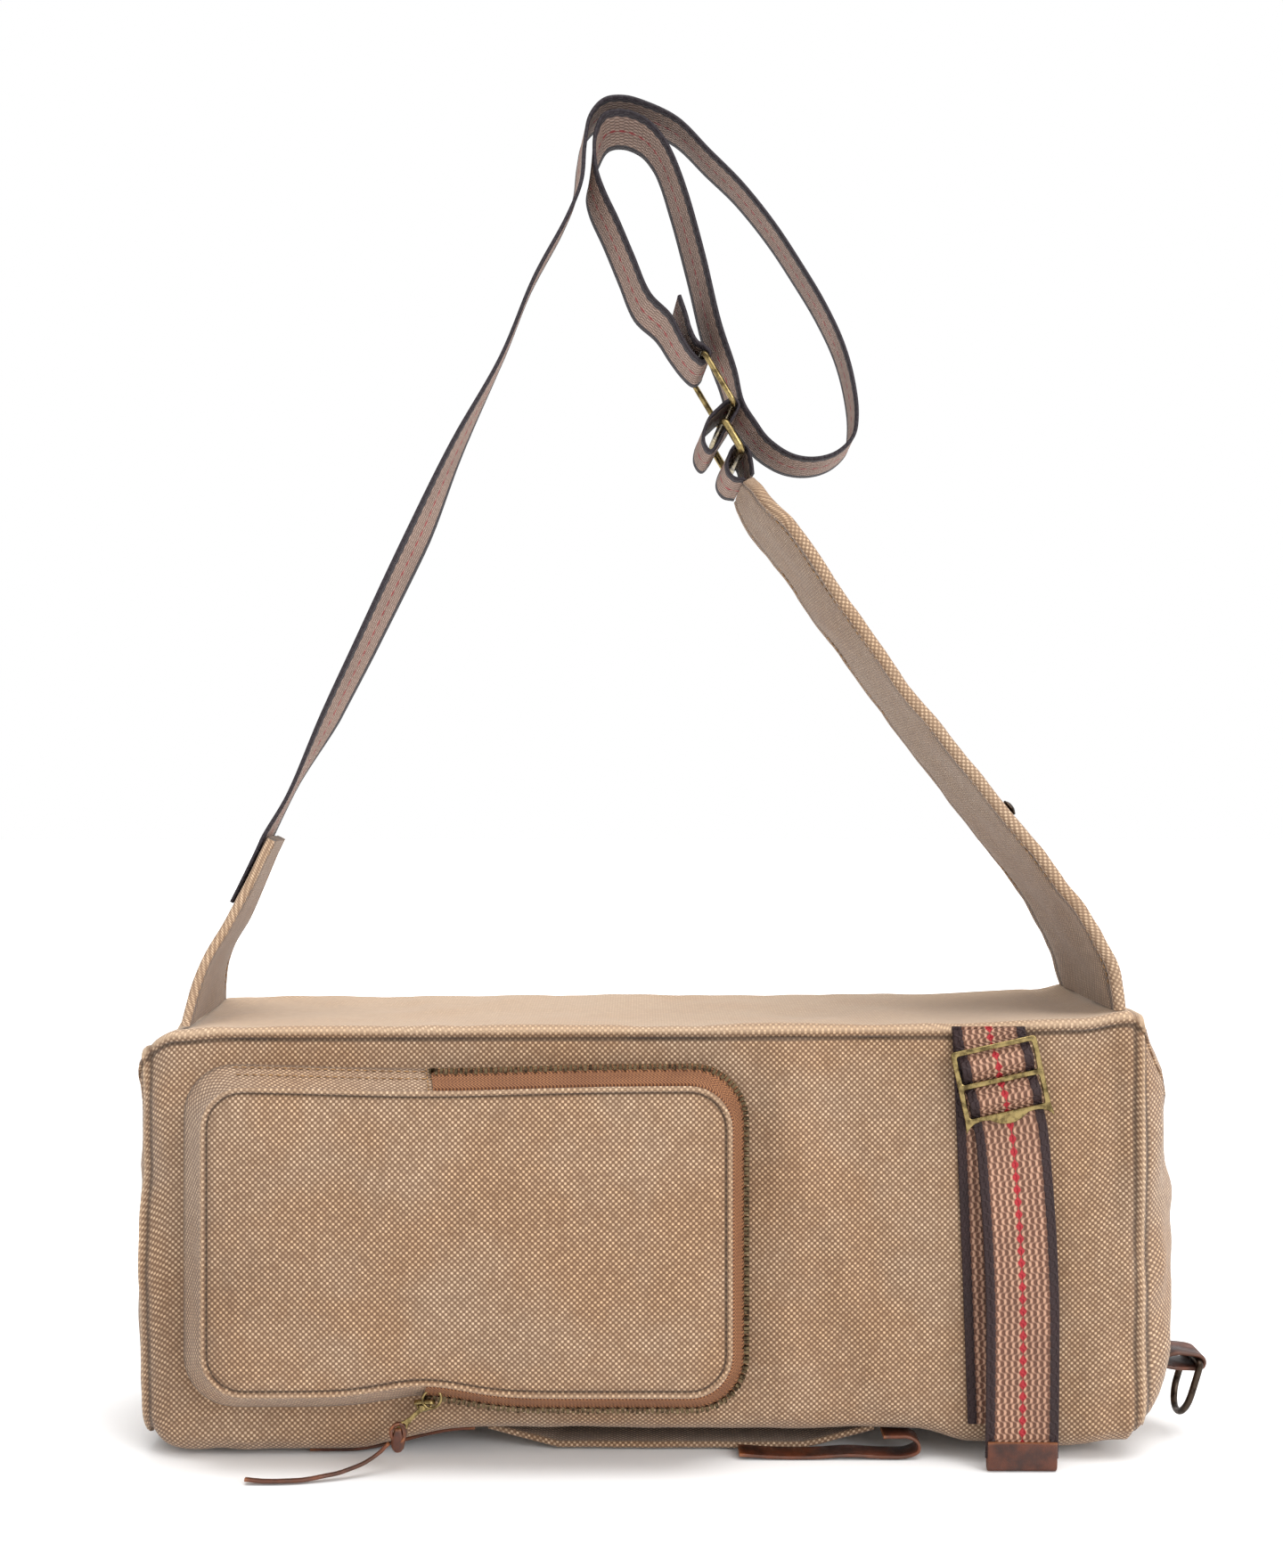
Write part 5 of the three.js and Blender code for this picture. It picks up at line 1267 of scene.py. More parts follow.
def build_buckle():
    wide, high = BUCKLE_WIDTH / 2, BUCKLE_HEIGHT / 2
    corner, lip, rail = 0.055 * BUCKLE_HEIGHT, 0.083 * BUCKLE_HEIGHT, 2.4
    tip = (wide + 0.2 * lip, -high - 0.33 * lip)
    belly = (wide * 0.45, -high + lip)
    rim = [(0, high), (wide - corner, high)]
    rim += curve_between(rim[-1], (wide, high), (wide, high - corner), 4)
    rim += [(wide, -high + 1.7 * lip), tip]
    rim += curve_between(tip, (wide - lip, -high + 1.53 * lip), belly, 6)
    rim += curve_between(belly, (0, -high - 1.13 * lip), (-belly[0], belly[1]), 10)
    mirrored = (-tip[0], tip[1])
    rim += curve_between(rim[-1], (-wide + lip, -high + 1.53 * lip), mirrored, 6)
    rim += [(-wide, -high + 1.7 * lip), (-wide, high - corner)]
    rim += curve_between(rim[-1], (-wide, high), (-wide + corner, high), 4)
    holes = []
    bars = (0, 0.422, 0.85)
    inner = wide - rail
    for upper, lower in zip(bars, bars[1:]):
        top, foot = high - upper * BUCKLE_HEIGHT - rail, high - lower * BUCKLE_HEIGHT
        middle = (top + foot) / 2
        holes.append([(x, y + middle) for x, y in rounded_outline(inner, (top - foot) / 2, 1.0, 3)])
    plate = flat_plate([rim, *holes], 1.8, 0.55)
    z = BUCKLE_TOP - BUCKLE_HEIGHT / 2
    lean = band_lean(z)
    x_axis = Vector((math.cos(lean), 0, math.sin(lean)))
    y_axis = Vector((-math.sin(lean), 0, math.cos(lean)))
    centre = Vector((band_x(z), front_y(BAND_X, z) - BAND_STAND_OFF - 0.8, z))
    skin = new_skin()
    join_mesh(skin, set_in_place(plate, centre, x_axis, y_axis, Vector((0, -1, 0))))
    finish_piece(skin, "band_buckle", "antique brass", ("buckle",), crease=60)


# Slip pocket and leather under the bag

SLIP = {"left": -70, "right": 106, "front": 15, "depth": 72, "sag": 8.5, "cloth": 1.8}
SLIP_WIDTH = SLIP["right"] - SLIP["left"]
FOLDED_ROUTE = [
    (0.037, -0.02), (0.113, -0.019), (0.181, -0.022), (0.231, -0.056), (0.233, -0.1), (0.175, -0.128),
    (0.05, -0.133), (-0.15, -0.123), (-0.375, -0.135), (-0.575, -0.133), (-0.775, -0.12),
]
FOLDED_STRAP_LENGTH = 80
FOLDED_STRAP_WIDTH = 13


def slip_surface(u, v):
    """A point of the slip pocket's upper side: sewn down at three edges, hanging open at the front."""
    x = lerp(SLIP["left"], SLIP["right"], u)
    mouth = min(1.0, 5.5 * min(u, 1 - u)) * (1 - v**2)
    z = foot_z(x) - SEAM_GAP - SLIP["sag"] * mouth
    return Vector((x, SLIP["front"] + SLIP["depth"] * v, z + 0.35 * rough(x / 14, v * 4, 0, 5.2) * mouth))


def build_slip_pocket():
    skin = new_skin()
    rings, uvs = [], []
    # Round the cloth from back to front and under: [depth share, below the upper side, proud of the mouth]
    outline = [(v / 10, 0.0, 0.0) for v in range(10, 0, -1)]
    outline += [(0.03, -0.2, 0), (0.0, -0.5, 0.3), (0.0, 0.3, 1.0), (0.0, 1.3, 1.1), (0.0, 2.2, 0.6)]
    outline += [(0.03, 2.1, 0), (0.07, 2.0, 0), (0.1, 1.8, 0)]
    outline += [(v / 10, SLIP["cloth"], 0.0) for v in range(2, 11)]
    outline.append(outline[0])
    for i in range(61):
        u = i / 60
        ring, uv, run = [], [], 0.0
        for k, (v, below, proud) in enumerate(outline):
            point = slip_surface(u, v) - Vector((0, proud, below))
            if k:
                run += (point - ring[-1]).length
            ring.append(point)
            uv.append((point.x, run))
        rings.append(ring)
        uvs.append(uv)
    add_rings(skin, rings, uvs, caps=True)
    piece = finish_piece(skin, "slip_cloth", "washed cotton duck", ("slip_pocket",), crease=70)


def build_base_leather():
    section = webbing_section(LEATHER * 0.8, 0, 6)
    stations = []
    for i in range(9):
        x = lerp(-151, -76, i / 8)
        edge = Vector((x, BOTTOM_CORNER + SEAM_GAP, foot_z(x) - 2 * SEAM_GAP - LEATHER / 2))
        stations.append((edge, Vector((0, 20, 0))))
    strap_piece("foot_leather", stations, 3, section, "oiled cowhide", "foot_strap")
    front = SLIP["front"] - 2 * SEAM_GAP - FOLDED_STRAP_WIDTH
    corner = Vector((SLIP["right"], front, foot_z(SLIP["right"])))
    across = Vector((0, FOLDED_STRAP_WIDTH, 0))
    stations = [(corner + Vector((x, 0, z)) * FOLDED_STRAP_LENGTH, across) for x, z in FOLDED_ROUTE]
    strap_piece("folded_leather", stations, 6, section, "oiled cowhide", "folded_strap")


# Leather loop and ring on the right end

LOOP_HEIGHT = 34
# Round the bar and back to the panel: [share of the reach back to the panel, x and z in wraps of the bar]
TAB_ROUTE = [
    (1, 0, 0.55), (0.6, 0, 1.41), (0.25, 0, 1.34), (0, 0.17, 1), (0, 0.8, 0.62), (0, 1, 0), (0, 0.75, -0.7),
    (0, 0, -1), (0.3, 0, -1), (0.62, 0, -0.9), (1, 0, -0.41),
]


def right_end_x(z):
    inset = end_inset(HALF_LENGTH) + 2 + SEAM_GAP
    low, high = foot_z(HALF_LENGTH) + inset, top_z(HALF_LENGTH) - inset
    middle, half = (low + high) / 2, (high - low) / 2
    reach = min(1.0, abs(z - middle) / half)
    return HALF_LENGTH + 22 * (1 - 0.3 * (z - middle) / half) * (1 - reach**3)


LOOP_FOOT = right_end_x(LOOP_HEIGHT)
BAR_CENTRE = Vector((LOOP_FOOT + 20, 40, LOOP_HEIGHT + 1))


def build_ring_tab():
    thickness = 1.8
    wrap = D_RING_WIRE + 0.4 + thickness / 2
    back = LOOP_FOOT + 2 - BAR_CENTRE.x
    stations = []
    for reach, x, z in TAB_ROUTE:
        edge = BAR_CENTRE + Vector((reach * back + x * wrap, -9.5, z * wrap))
        stations.append((edge, Vector((0, 19, 0))))
    section = webbing_section(thickness, 0, 6)
    strap_piece("ring_loop_leather", stations, 6, section, "oiled cowhide", "ring_tab")


def build_d_ring():
    half, bend = D_RING_BAR / 2, D_RING_WIRE
    bow_top = D_RING_DROP - half
    flat = [(-half + 1.25 * bend, 0), (0, 0), (half - 1.25 * bend, 0), (half - 0.3 * bend, 0.5 * bend)]
    flat.append((half, 1.9 * bend))
    for i in range(21):
        angle = math.pi * i / 20
        flat.append((half * math.cos(angle), bow_top + half * math.sin(angle)))
    flat += [(-half, 1.9 * bend), (-half + 0.3 * bend, 0.5 * bend)]
    down = Vector((-math.sin(D_RING_LEAN), 0, -math.cos(D_RING_LEAN)))
    path = [BAR_CENTRE + Vector((0, 1, 0)) * a + down * b for a, b in flat]
    skin = new_skin()
    add_rings(skin, wire_rings(smooth_path(path, 3, closed=True), D_RING_WIRE, 14))
    finish_piece(skin, "end_ring", "oxidised bronze", ("d_ring",), body="ring")


# Strap. Routes give the near edge: x as a share of half length, z as a share of the strap's rise.
# Skew is how far the far edge is shifted against the near one, as a share of the webbing's width.


def deep_station(x, z, skew_x, skew_z, width=WEBBING_WIDTH):
    skew_x *= WEBBING_WIDTH
    skew_z *= WEBBING_WIDTH
    reach = math.sqrt(width**2 - skew_x**2 - skew_z**2)
    return Vector((x, MID_DEPTH - reach / 2, z)), Vector((skew_x, reach, skew_z))


def bar(centre, reach, wire):
    """A bar of a leaning ring: its place and the radius at which webbing wraps it."""
    x = centre[0] - reach * math.sin(RING_LEAN)
    return x, centre[1] + reach * math.cos(RING_LEAN), wire + WEBBING_THICKNESS / 2 + 0.8


def around_bar(place_and_wrap, reach, angle):
    x, z, wrap = place_and_wrap
    turn = math.radians(angle)
    return x + reach * wrap * math.cos(turn), z + reach * wrap * math.sin(turn)


def wrap_station(place_and_wrap, row, width=WEBBING_WIDTH):
    reach, angle, *skew = row
    skew_x, skew_z = skew or RING_SKEW
    x, z = around_bar(place_and_wrap, reach, angle)
    return deep_station(x, z, skew_x, skew_z, width)


LOWER_RING = (route_x(0.188), route_z(0.6298))
LOWER_HIGH = bar(LOWER_RING, LOWER_RING_REACH, LOWER_RING_WIRE)
LOWER_LOW = bar(LOWER_RING, -LOWER_RING_REACH, LOWER_RING_WIRE)
UPPER_SEAT = around_bar(LOWER_HIGH, 2.74, 61)
UPPER_RING = bar(UPPER_SEAT, UPPER_RING_REACH, UPPER_RING_WIRE)
UPPER_LOW = bar(UPPER_RING, -UPPER_RING_REACH, UPPER_RING_WIRE)
UPPER_HIGH = bar(UPPER_RING, UPPER_RING_REACH, UPPER_RING_WIRE)

# [x share, z share, width share from top to base, skew x]
TAB_ROWS = [
    (-0.904, 0.021, 0.86, -0.184), (-0.895, 0.0425, 0.75, -0.184), (-0.879, 0.068, 0.61, -0.158),
    (-0.85, 0.0964, 0.44, -0.118), (-0.832, 0.1177, 0.3, -0.092), (-0.8115, 0.141, 0.18, -0.079),
    (-0.787, 0.1705, 0.07, -0.068), (-0.768, 0.1904, 0, -0.066),
]
# [x share, z share, width share from mid width to base width, skew x, skew z]
SHOULDER_ROWS = [
    (0.941, 0.058, 0.93, -0.079, -0.013), (0.916, 0.0889, 0.82, -0.105, -0.026),
    (0.885, 0.1196, 0.68, -0.105, -0.039), (0.8434, 0.1463, 0.57, -0.105, -0.039),
    (0.785, 0.187, 0.43, -0.105, -0.039), (0.7345, 0.2206, 0.32, -0.105, -0.039),
    (0.6664, 0.2666, 0.21, -0.105, -0.039), (0.588, 0.3186, 0.14, -0.105, -0.039),
    (0.495, 0.383, 0.07, -0.105, -0.039),
    (0.3947, 0.4563, 0, -0.105, -0.053), (0.302, 0.5262, -0.03, -0.105, -0.079),
]
SHOULDER_END = [(8.78, -65, 0.9), (5.86, -68, 0.76), (4.14, -73, STRAP_END_WIDTH / STRAP_MID_WIDTH)]
# [x share, z share, skew x, skew z] from the left tab over the top, round the big loop
OUTER_ROUTE = [
    (-0.852, 0.1222, -0.061, 0), (-0.83, 0.1453, -0.058, 0), (-0.803, 0.1746, -0.058, 0),
    (-0.785, 0.1946, -0.063, 0.005),
    (-0.735, 0.2387, -0.105, 0.039), (-0.666, 0.325, 0.063, -0.029), (-0.597, 0.4038, 0.111, -0.05),
    (-0.496, 0.5174, 0.142, -0.066), (-0.394, 0.6242, 0.016, -0.008), (-0.292, 0.7174, -0.111, 0.05),
    (-0.222, 0.8047, -0.121, 0.053), (-0.152, 0.8728, -0.126, 0.053), (-0.124, 0.9106, -0.132, 0.026),
    (-0.117, 0.95, -0.121, 0), (-0.106, 0.981, -0.105, -0.016), (-0.077, 0.9985, -0.066, -0.026),
    (-0.037, 1.0013, -0.026, -0.039), (0.007, 0.9951, 0, -0.039), (0.074, 0.9777, 0, -0.026),
    (0.141, 0.9426, 0, -0.013), (0.207, 0.9078, 0, 0), (0.274, 0.8639, 0, 0), (0.329, 0.8203, 0, 0),
    (0.379, 0.7766, 0, 0), (0.418, 0.733, 0, 0), (0.44, 0.692, 0, -0.013), (0.448, 0.6542, 0, -0.026),
    (0.44, 0.6309, 0, -0.053), (0.407, 0.6136, -0.013, -0.066), (0.362, 0.6068, -0.026, -0.074),
    (0.313, 0.6105, -0.053, -0.079), (0.263, 0.6282, -0.079, -0.092),
]
# Beside the upper ring's low bar: [reach, angle, skew x, skew z]
PASS_ROUTE = [(4.44, -36, -0.092, -0.105), (1.72, 22, -0.105, -0.105), (5.75, 86, -0.145, -0.079)]
# [x share, z share, skew x, skew z] up the inner loop, over the top and down again
INNER_ROUTE = [
    (0.163, 0.7562, -0.184, -0.053), (0.13, 0.8291, -0.184, -0.053), (0.091, 0.902, -0.171, -0.066),
    (0.063, 0.94, -0.132, -0.092), (0.041, 0.9601, -0.092, -0.132), (0.007, 0.9777, -0.039, -0.158),
    (-0.037, 0.9863, -0.013, -0.158), (-0.076, 0.983, 0.013, -0.158), (-0.094, 0.966, 0, -0.158),
    (-0.098, 0.945, -0.066, -0.132), (-0.093, 0.922, -0.145, -0.105), (-0.077, 0.8984, -0.184, -0.079),
    (-0.05, 0.8686, -0.184, -0.092), (-0.017, 0.8279, -0.184, -0.105), (0.017, 0.787, -0.184, -0.118),
]
# Round the upper ring's high bar, then the loose tail: [reach, angle, skew x, skew z]
FOLD_ROUTE = [
    (8.1, 130, -0.158, -0.118), (4.38, 141, -0.118, -0.118), (1.7, 176), (1.16, -90), (1.12, 1), (1.23, 74),
    (2.3, 116), (4.48, 117, -0.092, -0.092), (7.16, 113, -0.079, -0.066), (10.06, 112, -0.066, -0.053),
]
LINK_ABOVE = [(0.99, 8), (1.06, 86), (1.19, 149)]
LINK_BELOW = [
    (2.1, 108), (1.99, 158), (2.9, 204), (3.91, 227), (4.36, 246), (3.06, 255), (1.13, -81), (0.96, 5),
]
END_LOOP_ROUTE = [
    (3.92, -81), (3.63, 254), (2.81, 229), (1.48, 188), (1.15, 128), (1.17, 77), (1.17, 23), (1.97, -38),
    (3.54, -60),
]
STRAP_SEAM = 6.5
TAB_SEAM = 5
TAB_CLOTH = 0.8 * TAB_THICKNESS


def tab_stations():
    top_width = WEBBING_WIDTH + 1
    base_x = route_x(-0.911)
    rows = [deep_station(base_x, top_z(base_x) + 1.2, -0.184, 0, STRAP_BASE_WIDTH)]
    for x, z, share, skew in TAB_ROWS:
        rows.append(deep_station(route_x(x), route_z(z), skew, 0, lerp(top_width, STRAP_BASE_WIDTH, share)))
    return rows


def shoulder_stations():
    base_x = route_x(0.9566)
    rows = [deep_station(base_x, top_z(base_x) + 0.4, -0.026, 0, STRAP_BASE_WIDTH)]
    for x, z, share, skew_x, skew_z in SHOULDER_ROWS:
        width = lerp(STRAP_MID_WIDTH, STRAP_BASE_WIDTH, share)
        rows.append(deep_station(route_x(x), route_z(z), skew_x, skew_z, width))
    for reach, angle, share in SHOULDER_END:
        rows.append(wrap_station(LOWER_LOW, (reach, angle), share * STRAP_MID_WIDTH))
    return rows


def canvas_strap(name, stations, steps, thickness, seam, ripple, node):
    """A sewn canvas strap: painted shade all over, deeper in its sewn channels, painted highlight on its
    rolled edges, and weave that runs round its section.
    """
    rings, uvs = strap_rings(stations, steps, padded_section(thickness, seam), lift=ripple)
    painted_shadings, cloth = [], []
    for ring, row in zip(rings, uvs):
        width = max(across for _, across in row)
        painted_shading = []
        for _, a in row:
            # Painted shade over the whole strap, deeper in the sewn channels, and painted highlight on the
            # rolled edges.
            made_paler = bump(a, 0, 2.2) + bump(a, width, 2.2)
            painted_shading.append(0.38 + 0.75 * (bump(a, seam, 1.2) + bump(a, width - seam, 1.2) - made_paler))
        painted_shadings.append(painted_shading)
        around = [0.0]
        for a, b in zip(ring, ring[1:]):
            around.append(around[-1] + (b - a).length)
        cloth.append([(along, run) for (along, _), run in zip(row, around)])
    skin = new_skin()
    add_rings(skin, rings, cloth, caps=True, painted_shadings=painted_shadings)
    return finish_piece(skin, name, "washed cotton duck", (node,), crease=75)


def build_left_tab():
    def ripple(run, across):
        return 0.5 * rough(run / 20, across / 24, 0, 7.7)

    canvas_strap("left_tab_canvas", tab_stations(), 7, TAB_CLOTH, TAB_SEAM, ripple, "left_tab")


def build_shoulder_strap():
    def ripple(run, across):
        return 1.3 * rough(run / 26, across / 34, 0, 5.9) + 0.5 * rough(run / 9, across / 16, 0, 2.1)

    size = (STRAP_THICKNESS, STRAP_SEAM)
    piece = canvas_strap("padded_strap", shoulder_stations(), 9, *size, ripple, "shoulder_strap")


def build_rivet():
    out = Vector((0.788, 0, 0.615))
    centre = Vector((route_x(0.7345), 20, route_z(0.2206))) + out * (STRAP_THICKNESS / 2 + 0.6)
    side, other = Vector((0, 1, 0)), out.cross(Vector((0, 1, 0)))
    skin = new_skin()
    rings = []
    # A domed cap with a turned rim: [radius, height]
    cap = [(0, -0.4), (2.8, -0.4), (3.7, 0.1), (4, 0.7), (3.8, 1.1), (3.3, 1.2), (2.9, 1.6), (1.8, 2.1)]
    for radius, height in (*cap, (0, 2.3)):
        ring = []
        for k in range(25):
            angle = 2 * math.pi * (k % 24) / 24
            ring.append(centre + out * height + (side * math.cos(angle) + other * math.sin(angle)) * radius)
        rings.append(ring)
    add_rings(skin, rings)
    finish_piece(skin, "strap_rivet_cap", "oxidised bronze", ("strap_rivet",))


def strap_webbing_stations():
    outer = [deep_station(route_x(x), route_z(z), sx, sz) for x, z, sx, sz in OUTER_ROUTE]
    passing = [wrap_station(UPPER_LOW, row) for row in PASS_ROUTE]
    inner = [deep_station(route_x(x), route_z(z), sx, sz) for x, z, sx, sz in INNER_ROUTE]
    return outer + passing + inner + [wrap_station(UPPER_HIGH, row) for row in FOLD_ROUTE]


def build_strap_webbing():
    stations, section = strap_webbing_stations(), webbing_section(WEBBING_THICKNESS)
    strap_piece("webbing_strand", stations, 7, section, "strap webbing", "strap_webbing")


def build_strap_rings():
    _, across = deep_station(0, 0, *RING_SKEW)
    side = across.normalized()
    up = Vector((-math.sin(RING_LEAN), 0, math.cos(RING_LEAN)))
    up = (up - side * up.dot(side)).normalized()
    rings = (
        ("upper_wire_ring", "upper_ring", UPPER_RING, UPPER_RING_WIRE, UPPER_RING_REACH),
        ("lower_wire_ring", "lower_ring", LOWER_RING, LOWER_RING_WIRE, LOWER_RING_REACH),
    )
    for name, node, where, wire, reach in rings:
        edge, span = deep_station(where[0], where[1], *RING_SKEW)
        centre = edge + span / 2
        outline = rounded_outline(WEBBING_WIDTH / 2 + 1.8 + wire, reach, 3.2, 8)
        path = [centre + side * a + up * b for a, b in outline]
        skin = new_skin()
        add_rings(skin, wire_rings(path, wire, 14))
        finish_piece(skin, name, "antique brass", (node,))


def build_webbing_loops():
    section = webbing_section(0.85 * WEBBING_THICKNESS)
    link = [wrap_station(UPPER_LOW, row) for row in LINK_ABOVE]
    link += [wrap_station(LOWER_HIGH, row) for row in LINK_BELOW]
    strap_piece("ring_link_webbing", link, 6, section, "strap webbing", "ring_link", closed=True)
    end = [wrap_station(LOWER_LOW, row) for row in END_LOOP_ROUTE]
    strap_piece("end_loop_webbing", end, 6, section, "strap webbing", "strap_end_loop")


# Main zip on the back


def build_main_zip():
    skin = new_skin()
    out = BODY_DEPTH + SEAM_GAP
    # Across the tape: [height from its middle, proud of the panel]
    outline = [(-13, -1.5), (-13, 0.8), (-12.4, 1.2), (-2.4, 1.2), (-1.9, 1.7), (1.9, 1.7)]
    outline += [(2.4, 1.2), (12.4, 1.2), (13, 0.8), (13, -1.5), (-13, -1.5)]
    rings, uvs = [], []
    for i in range(41):
        x = lerp(-MAIN_ZIP_LENGTH / 2, MAIN_ZIP_LENGTH / 2, i / 40)
        rings.append([Vector((x, out + proud, MAIN_ZIP_HEIGHT + z)) for z, proud in outline])
        uvs.append([(x, z) for z, _ in outline])
    add_rings(skin, rings, uvs, caps=True)
    finish_piece(skin, "back_zip_tape", "herringbone zip tape", ("main_zip",))
    away = Vector((0, 1, 0))
    half = MAIN_ZIP_LENGTH / 2 - 6
    row = [(Vector((x, out + 2.2, MAIN_ZIP_HEIGHT)), away) for x in (-half, half)]
    teeth = (2.0, 1.2, 3.0, 1.6, 1.2)
    repeat_along("back_zip_teeth", [row], "tooth", teeth, finish("brass zip teeth"))


# Stitches


def strap_row(stations, steps, inset, out_by, far=False, trim=(0, 0)):
    """A row of (point, out) pairs along a strap, a distance in from its near or far edge."""
    edges = smooth_path([edge for edge, _ in stations], steps)
    spans = smooth_path([across for _, across in stations], steps)
    row = []
    for i in range(trim[0], len(edges) - trim[1]):
        before, after = edges[max(i - 1, 0)], edges[min(i + 1, len(edges) - 1)]
        out = (after - before).cross(spans[i]).normalized()
        if out_by < 0:
            out = -out
        side = spans[i].normalized()
        across = spans[i].length - inset if far else inset
        row.append((edges[i] + side * across + out * abs(out_by), out))
    return row


def pocket_row(start, end, level, grow, count=60):
    row = []
    for i in range(count + 1):
        walk = lerp(start, end, i / count)
        point = pocket_point(walk, level, grow)
        row.append((point, (pocket_point(walk, level, grow + 2) - point).normalized()))
    return row


def build_stitches():
    sizes = bpy.context.scene.sling_bag_sizes
    thread = finish("cotton thread")
    stitch = (sizes.stitch_length + sizes.stitch_gap, sizes.stitch_length, 0.9, 0.6, 0)
    rows = [pocket_row(0, ZIP_START, 0.16, 0.4), pocket_row(0, ZIP_START, 0.46, 0.4)]
    rows.append(pocket_row(ZIP_START, ZIP_END, 0.15, 1.5, 240))
    end = []
    for i in range(11):
        point = pocket_point(ZIP_START - 0.01, lerp(0.1, 0.9, i / 10), 0.5)
        end.append((point, (pocket_point(ZIP_START, lerp(0.1, 0.9, i / 10), 3) - point).normalized()))
    rows.append(end)
    repeat_along("pocket_stitches", rows, "stitch", stitch, thread)
    shoulder, tab = shoulder_stations(), tab_stations()
    rows = []
    for side in (1, -1):
        for far in (False, True):
            rows.append(strap_row(shoulder, 6, STRAP_SEAM, side * 0.82 * STRAP_THICKNESS / 2, far, (4, 4)))
            rows.append(strap_row(tab, 6, TAB_SEAM, side * 0.82 * TAB_CLOTH / 2, far, (4, 2)))
    repeat_along("strap_stitches", rows, "stitch", stitch, thread)
    rows = []
    for offset in (3.2, 6):
        row = []
        for x in range(-66, 103, 4):
            seam = slip_surface((x - SLIP["left"]) / SLIP_WIDTH, offset / SLIP["depth"])
            row.append((Vector((x, SLIP["front"] + offset, seam.z - 1.9)), Vector((0, 0, -1))))
        rows.append(row)
    reach = MAIN_ZIP_LENGTH / 2 - 3
    proud = BODY_DEPTH + SEAM_GAP + 1.3
    for z in (-10.5, 10.5):
        rows.append([(Vector((x, proud, MAIN_ZIP_HEIGHT + z)), Vector((0, 1, 0))) for x in (-reach, reach)])
    repeat_along("canvas_stitches", rows, "stitch", stitch, thread)


# Stage


def build_stage():
    scene = bpy.context.scene
    ground = place((0, 0, 0)).z
    floor = bpy.data.meshes.new("floor")
    corners = [(-6, -4, ground), (6, -4, ground), (6, 8, ground), (-6, 8, ground)]
    floor.from_pydata(corners, [], [(0, 1, 2, 3)])
    floor.materials.append(finish("white studio board"))
    board = bpy.data.objects.new("floor", floor)
    scene.collection.objects.link(board)
    world = bpy.data.worlds.new("studio")
    world.use_nodes = True
    light = world.node_tree.nodes["Background"]
    light.inputs["Color"].default_value = (1, 1, 1, 1)
    light.inputs["Strength"].default_value = 1.0
    scene.world = world
    # Wide soft lights: [name, strength, angle across in degrees, direction it comes from]
    lights = (("top_light", 2.2, 50, (0.2, -0.1, 1)), ("key_light", 1.6, 30, (0.95, -1, 0.6)))
    for name, power, spread, where in lights:
        lamp = bpy.data.lights.new(name, "SUN")
        lamp.energy = power
        lamp.angle = math.radians(spread)
        holder = bpy.data.objects.new(name, lamp)
        holder.rotation_euler = (-Vector(where)).to_track_quat("-Z", "Y").to_euler()
        scene.collection.objects.link(holder)
    camera = bpy.data.cameras.new("photo_camera")
    camera.lens = camera.sensor_width * CAMERA_FOCAL_PIXELS / IMAGE_HEIGHT
    camera.shift_y = -HORIZON_PIXELS_ABOVE_MIDDLE / IMAGE_HEIGHT
    holder = bpy.data.objects.new("photo_camera", camera)
    holder.location = place((0, -CAMERA_DISTANCE, CAMERA_HEIGHT))
    holder.rotation_euler = (math.pi / 2, 0, 0)
    scene.collection.objects.link(holder)
    scene.camera = holder
    scene.view_settings.view_transform = "Standard"


# Settings a user would change


def millimetres(name, description, default, low):
    return bpy.props.FloatProperty(name=name, description=f"{description}, in mm", default=default, min=low)


class SlingBagSizes(bpy.types.PropertyGroup):
    canvas_pitch: millimetres("Canvas pitch", "Distance between yarn crossings of the canvas", 2.6, 0.5)
    wrinkle_height: millimetres("Wrinkle height", "Height of the canvas's soft folds", 4.2, 0)
    seam_welt: millimetres("Seam welt", "How far the body's seams stand proud", 1.2, 0)
    tooth_spacing: millimetres("Tooth spacing", "Distance between teeth of the pocket zip", 2.2, 1)
    stitch_length: millimetres("Stitch length", "Length of one stitch", 2.6, 1)
    stitch_gap: millimetres("Stitch gap", "Gap between stitches", 0.9, 0)


def colour(name, description, code):
    return bpy.props.FloatVectorProperty(
        name=name, description=description, subtype="COLOR", size=3, min=0, max=1, default=to_linear(code)
    )


